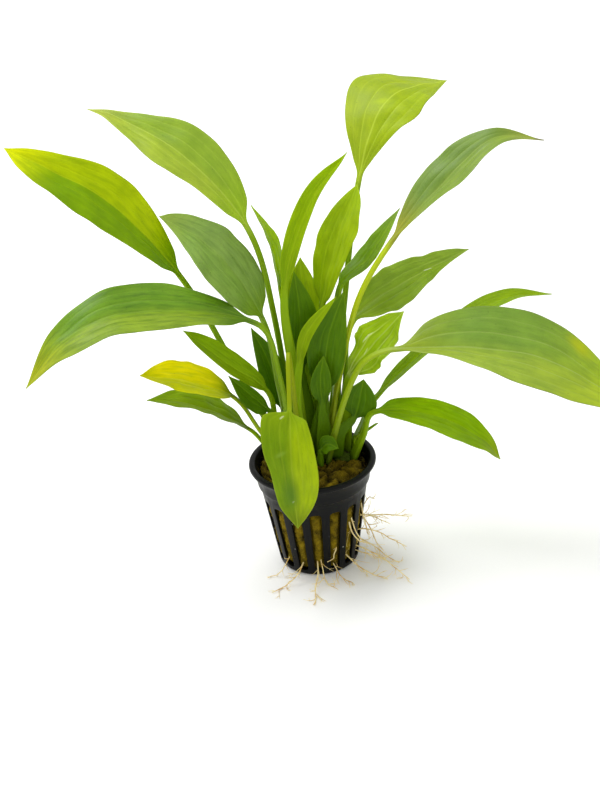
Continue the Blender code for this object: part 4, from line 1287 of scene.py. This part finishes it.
@dataclass(frozen=True)
class LeafSheath:
    """Living leaf bases, pressed round each other in a short rootstock.

    Fine ribs run up them, paler streaks among darker ones, and brown where old skins have dried.
    """

    name: str = "living_leaf_sheath"
    # The sheaths' dark greens are painted shade of the crown's depths.
    fresh: str = "2f4606"
    pale: str = "4a5a10"
    dried: str = "1e1806"

    def material(self) -> bpy.types.Material:
        """Builds the crowns' material.

        Returns:
            The material.
        """
        made = Finish(self.name)
        add = made.add
        place = add("TexCoord", output="Object")
        # Ribs are 0.7 mm apart, and dried patches 3 mm across.
        upright = add("Mapping", {"Vector": place, "Scale": (1.0, 1.0, 0.12)})
        ribs = add("TexNoise", {"Vector": upright, "Scale": 1500.0})
        patches = add("TexNoise", {"Vector": place, "Scale": 380.0, "Detail": 4.0})
        dry = add("MapRange", (patches, 0.5, 0.62, 0.0, 0.85))
        fresh = add("Mix", {SHARE: ribs, UNDER: linear(self.fresh), OVER: linear(self.pale)}, **COLOURS)
        colour = add("Mix", {SHARE: dry, UNDER: fresh, OVER: linear(self.dried)}, **COLOURS)
        relief = add("Bump", {"Strength": 0.6, "Distance": 0.0003, "Height": ribs})
        return made.done(add("BsdfPrincipled", {"Base Color": colour, "Roughness": 0.65, "Metallic": 0.0,
                                                "IOR": 1.42, "Specular IOR Level": 0.12, "Normal": relief}))


@dataclass
class Crowns:
    """The short rootstocks, each swollen below the stalks that it carries."""

    PLACES = {"left": (-8, 6), "back_left": (-3, 15), "front": (2, 5), "back_right": (7.5, 14),
              "right": (13.5, 6)}
    SEAT_RADIUS = 4.4
    SEAT_RISE = 0.3             # how far the stalks' feet stand above the wool's top

    radius: float = 3.0
    sunk: float = 1.4           # how far its foot lies below the wool's top
    rise: float = 1.5           # how far it stands above that
    swell: float = 1.6          # how far it swells below a stalk, and over what angle
    swell_angle: float = 0.4
    rib: float = 0.08
    ribs: int = 18
    rings: int = 26
    sides: int = 72
    finish: LeafSheath = field(default_factory=LeafSheath)

    def build(self, leaves: Sequence[Leaf]) -> None:
        """Builds the crowns.

        Args:
            leaves: all the leaves, whose seats shape the crowns.
        """
        material = self.finish.material()
        turn = np.linspace(0, FULL_TURN, self.sides, endpoint=False)
        for name, (x, y) in self.PLACES.items():
            seats = np.radians([leaf.seat for leaf in leaves if leaf.crown == name])
            away = np.abs((turn[:, None] - seats[None] + math.pi) % FULL_TURN - math.pi)
            lobes = np.exp(-(away / self.swell_angle) ** 2).max(axis=1)
            rings = []
            for share in np.linspace(0, 1, self.rings):
                risen = (self.rise + self.sunk) * math.sin(share * math.pi / 2)
                shrink = math.sqrt(max(0.0, 1 - share ** 3)) * (0.92 + 0.08 * math.sin(9 * share))
                radius = (self.radius + self.swell * lobes * (1 - 0.5 * share)) * shrink + 0.05
                radius = radius + self.rib * np.sin(self.ribs * turn + 3 * share)
                rings.append(np.stack([x + radius * np.cos(turn), y + radius * np.sin(turn),
                                       turn * 0 + WoolPlug.MOUND_TOP - self.sunk + risen], axis=-1))
            shape = Shape()
            shape.skin(np.array(rings))
            settle(shape.piece(name + "_crown_sheathed", material), "crown", name + "_crown")


@dataclass(frozen=True)
class RootSkin:
    """Young water roots: a translucent ivory skin over a straw-coloured core.

    They look pale and a little waxy, browner in patches where they are older.
    """

    name: str = "living_root_skin"
    young: str = "fcedb2"
    old: str = "dcb458"
    through: float = 0.3

    def material(self) -> bpy.types.Material:
        """Builds the roots' material.

        Returns:
            The material.
        """
        made = Finish(self.name)
        add = made.add
        place = add("TexCoord", output="Object")
        # Older patches are about 4 mm long, and the skin's relief is 0.6 mm across.
        patches = add("TexNoise", {"Vector": place, "Scale": 260.0, "Detail": 4.0})
        age = add("MapRange", (patches, 0.46, 0.7, 0.0, 1.0))
        colour = add("Mix", {SHARE: age, UNDER: linear(self.young), OVER: linear(self.old)}, **COLOURS)
        uneven = add("TexNoise", {"Vector": place, "Scale": 1600.0})
        relief = add("Bump", {"Strength": 0.3, "Distance": 0.0001, "Height": uneven})
        face = add("BsdfPrincipled", {"Base Color": colour, "Roughness": 0.5, "Metallic": 0.0, "IOR": 1.4,
                                      "Specular IOR Level": 0.3, "Normal": relief})
        glow = add("BsdfTranslucent", {"Color": colour, "Normal": relief})
        return made.done(add("MixShader", (self.through, face, glow)))


@dataclass(frozen=True)
class Root:
    """One root strand: the slot that it leaves the pot by, and how it runs from there."""

    name: str
    slot: int               # which slot, counted from the front towards +X
    height: float           # where it passes the slot
    reach: float            # how far it runs out
    drift: float            # how far it has moved sideways at its end
    end: float              # height of its end
    arch: float = 0.0       # how far its middle stands above a straight line
    aside: float = 0.0      # how far from the middle of the slot it passes
    thickness: float = 0.6

    START = 0.15            # gap between the pot's inner wall and the strand's first point
    SWAY = 0.8              # how far it swings from side to side, and how often
    SWAYS = 1.4
    FALL = 1.5              # how many times as fast it falls as it runs out

    def line(self, steps: int) -> np.ndarray:
        """Points along the root, from inside its slot outwards and down.

        Args:
            steps: how many.

        Returns:
            The points.
        """
        out, side = compass(math.radians(NetPot.first_slot + self.slot * 360 / NetPot.slots))
        start = NetPot.inner_radius(self.height) + self.START
        lowest = self.thickness / 2 + 0.05
        line = []
        for part in np.linspace(0, 1, steps):
            height = self.height + (self.end - self.height) * min(1, self.FALL * part)
            height = max(height + self.arch * 4 * part * (1 - part), lowest)
            aside = self.aside + self.drift * part ** 2
            aside += self.SWAY * math.sin(FULL_TURN * self.SWAYS * part + self.slot) * part
            line.append(out * (start + self.reach * part) + side * aside + np.array([0, 0, height]))
        return np.array(line)


@dataclass
class Roots:
    """The roots that have grown out through the slots, with their fine branches."""

    strands: tuple[Root, ...] = (
        Root("upper_right_root", 3, 23, 21, 9, 21, arch=2),
        Root("hooked_right_root", 3, 15, 19, 8, 5, arch=6, aside=0.9),
        Root("long_right_root", 3, 8, 27, -7, 0.6, arch=2, aside=-0.9),
        Root("right_slot_root", 4, 19, 9, -6, 3, arch=3),
        Root("right_floor_root", 4, 7, 17, -12, 0.6),
        Root("front_right_root", 2, 26, 5, 6, 12, arch=1, aside=0.9),
        Root("front_right_floor_root", 2, 7, 20, 5, 0.6, aside=-0.8),
        Root("front_slot_root", 1, 14, 2.4, -5, 9, arch=0.5, aside=0.6),
        Root("front_floor_root", 0, 7.6, 22, -3, 0.6, aside=-0.7),
        Root("front_short_root", 0, 8.4, 12, 6, 0.6, aside=0.8, thickness=0.5),
        Root("left_floor_root", -1, 7, 17, -9, 0.6),
        Root("left_short_root", -2, 8, 11, -4, 0.6, thickness=0.5),
        Root("slot_side_root", 3, 29, 2.6, 1, 13, arch=0.5, aside=1.2, thickness=0.7),
        Root("crossing_slot_root", 2, 25, 3.6, 7, 13, arch=0.5, aside=-0.6, thickness=0.7),
        Root("rising_right_root", 4, 22, 6, -4, 29, aside=-1, thickness=0.5),
        Root("arched_right_root", 4, 15, 13, 5, 9, arch=5, aside=1, thickness=0.5),
        Root("low_right_root", 3, 4.5, 13, 3, 0.6, arch=1, aside=0.6, thickness=0.5),
        Root("front_middle_root", 1, 5, 13, 4, 0.6, aside=-0.6, thickness=0.5),
    )
    stations: int = 40
    sides: int = 10
    branch_gap: float = 2.1             # distance between rootlets along a strand
    branch_length: Span = (3.5, 10)
    branch_radius: Span = (0.13, 0.2)
    branch_points: int = 12
    twig_radius: float = 0.1
    drift: float = 0.07                 # how strongly a rootlet bends one way, and how unevenly
    jitter: float = 0.035
    lowest: float = 0.2
    finish: RootSkin = field(default_factory=RootSkin)

    def build(self) -> None:
        """Builds each strand as a tube with its rootlets."""
        material = self.finish.material()
        for number, root in enumerate(self.strands):
            luck = np.random.default_rng(100 + number)
            line = root.line(self.stations)
            shape = Shape()
            shape.tube(line, root.thickness / 2 * np.linspace(1, 0.5, len(line)), self.sides)
            gap = max(2, int(self.branch_gap * self.stations / root.reach))
            for start in range(4, len(line) - 2, gap):
                length = luck.uniform(*self.branch_length) * (1 - 0.4 * start / len(line))
                length *= min(1.0, root.reach / 12)
                branch = self._branch(line, start, length, luck)
                taper = np.linspace(1, 0.35, len(branch))
                shape.tube(branch, taper * luck.uniform(*self.branch_radius), 6)
                if length > 5:
                    twig = self._branch(branch, int(luck.integers(3, 8)), length * 0.45, luck)
                    shape.tube(twig, taper * self.twig_radius, 5)
            settle(shape.piece(root.name + "_branched", material), "root", root.name)

    def _branch(self, line: np.ndarray, start: int, length: float, luck: np.random.Generator) -> np.ndarray:
        """The path of a rootlet that leaves a strand and bends gently on its way.

        Args:
            line: the strand's points.
            start: the number of the point that it leaves from.
            length: its length.
            luck: the strand's own random numbers.

        Returns:
            Its points.
        """
        ahead = line[start + 1] - line[start]
        ahead /= np.linalg.norm(ahead)
        away = luck.normal(0, 1, 3)
        away -= ahead * (away @ ahead)
        way = away / np.linalg.norm(away) * 0.75 + ahead * 0.8
        drift = luck.normal(0, self.drift, 3)
        place, path = line[start].copy(), []
        for _ in range(self.branch_points):
            path.append(place.copy())
            way = way + drift + luck.normal(0, self.jitter, 3)
            place = place + way / np.linalg.norm(way) * length / (self.branch_points - 1)
            place[2] = max(place[2], self.lowest)
        return np.array(path)


@dataclass(frozen=True)
class SweptPaper:
    """Matt white backdrop paper, swept flat under the pot; it gives the shadow a faint tooth."""

    name: str = "matt_white_backdrop_paper"
    sheet: str = "fbfbfa"
    tooth: str = "f7f7f6"

    def material(self) -> bpy.types.Material:
        """Builds the floor's material.

        Returns:
            The material.
        """
        made = Finish(self.name)
        add = made.add
        place = add("TexCoord", output="Object")
        # The paper's tooth is 0.2 mm and is drawn at 1 mm to show.
        grain = add("TexNoise", {"Vector": place, "Scale": 900.0, "Detail": 3.0})
        colour = add("Mix", {SHARE: grain, UNDER: linear(self.sheet), OVER: linear(self.tooth)}, **COLOURS)
        relief = add("Bump", {"Strength": 0.05, "Distance": 0.0001, "Height": grain})
        return made.done(add("BsdfPrincipled", {"Base Color": colour, "Roughness": 0.95, "Metallic": 0.0,
                                                "Specular IOR Level": 0.1, "Normal": relief}))


@dataclass
class Studio:
    """The pale floor, the soft light and the camera."""

    floor_side: float = 8000.0
    floor_heights: Span = (-10.0, -0.02)
    sky: float = 0.86                                               # strength of the white surround
    key_power: float = 16.0                                         # watts
    key_side: float = 900.0
    key_place: tuple[float, float, float] = (-550, 350, 1250)
    key_target: tuple[float, float, float] = (0, 0, 100)
    distance: float = 700.0
    lens: float = 75.0
    elevation: float = 28.3                                         # degrees, as is the lean
    lean: float = 4.7
    target: tuple[float, float, float] = (-3.1, 11.7, 69.7)
    finish: SweptPaper = field(default_factory=SweptPaper)

    def build(self) -> None:
        """Builds the floor, the lights and the camera."""
        half = self.floor_side / 2
        shape = Shape()
        corners = np.array([(-half, -half, 0), (half, -half, 0), (half, half, 0), (-half, half, 0)])
        shape.skin(np.array([corners + (0, 0, height) for height in self.floor_heights]))
        floor = shape.piece("floor", self.finish.material())
        floor.data.set_sharp_from_angle(angle=0.5)
        scene = bpy.context.scene
        scene.world = bpy.data.worlds.new("soft_white_surround")
        scene.world.use_nodes = True
        surround = scene.world.node_tree.nodes["Background"].inputs
        surround["Color"].default_value = (1, 1, 1, 1)
        surround["Strength"].default_value = self.sky
        self._lamp()
        self._camera()
        scene.view_settings.view_transform = "Standard"
        scene.view_settings.look = "None"

    def _lamp(self) -> None:
        """A square softbox aimed at the plant."""
        light = bpy.data.lights.new("key_softbox", "AREA")
        light.energy, light.size = self.key_power, self.key_side * MM
        lamp = bpy.data.objects.new("key_softbox", light)
        lamp.location = Vector(self.key_place) * MM
        ahead = Vector(self.key_target) - Vector(self.key_place)
        lamp.rotation_euler = ahead.to_track_quat("-Z", "Y").to_euler()
        bpy.context.scene.collection.objects.link(lamp)

    def _camera(self) -> None:
        """The camera at the photograph's viewing angle."""
        rise, lean = math.radians(self.elevation), math.radians(self.lean)
        right = Vector((math.cos(lean), -math.sin(lean) * math.sin(rise), -math.sin(lean) * math.cos(rise)))
        up = Vector((math.sin(lean), math.cos(lean) * math.sin(rise), math.cos(lean) * math.cos(rise)))
        back = Vector((0, -math.cos(rise), math.sin(rise)))
        data = bpy.data.cameras.new("camera")
        data.lens, data.sensor_width, data.sensor_fit = self.lens, 36.0, "AUTO"
        data.clip_start, data.clip_end = 0.01, 50.0
        camera = bpy.data.objects.new("camera", data)
        place = (Vector(self.target) + back * self.distance) * MM
        camera.matrix_world = Matrix.Translation(place) @ Matrix((right, up, back)).transposed().to_4x4()
        bpy.context.scene.collection.objects.link(camera)
        bpy.context.scene.camera = camera


def main() -> None:
    """Builds the whole visual model; each piece logs its face count."""
    logging.basicConfig(level=logging.INFO, format="%(name)s: %(message)s")
    Studio().build()
    NetPot().build()
    WoolPlug().build()
    foliage = Foliage()
    Crowns().build(foliage.leaves)
    foliage.build()
    Roots().build()


if __name__ == "__main__":
    main()
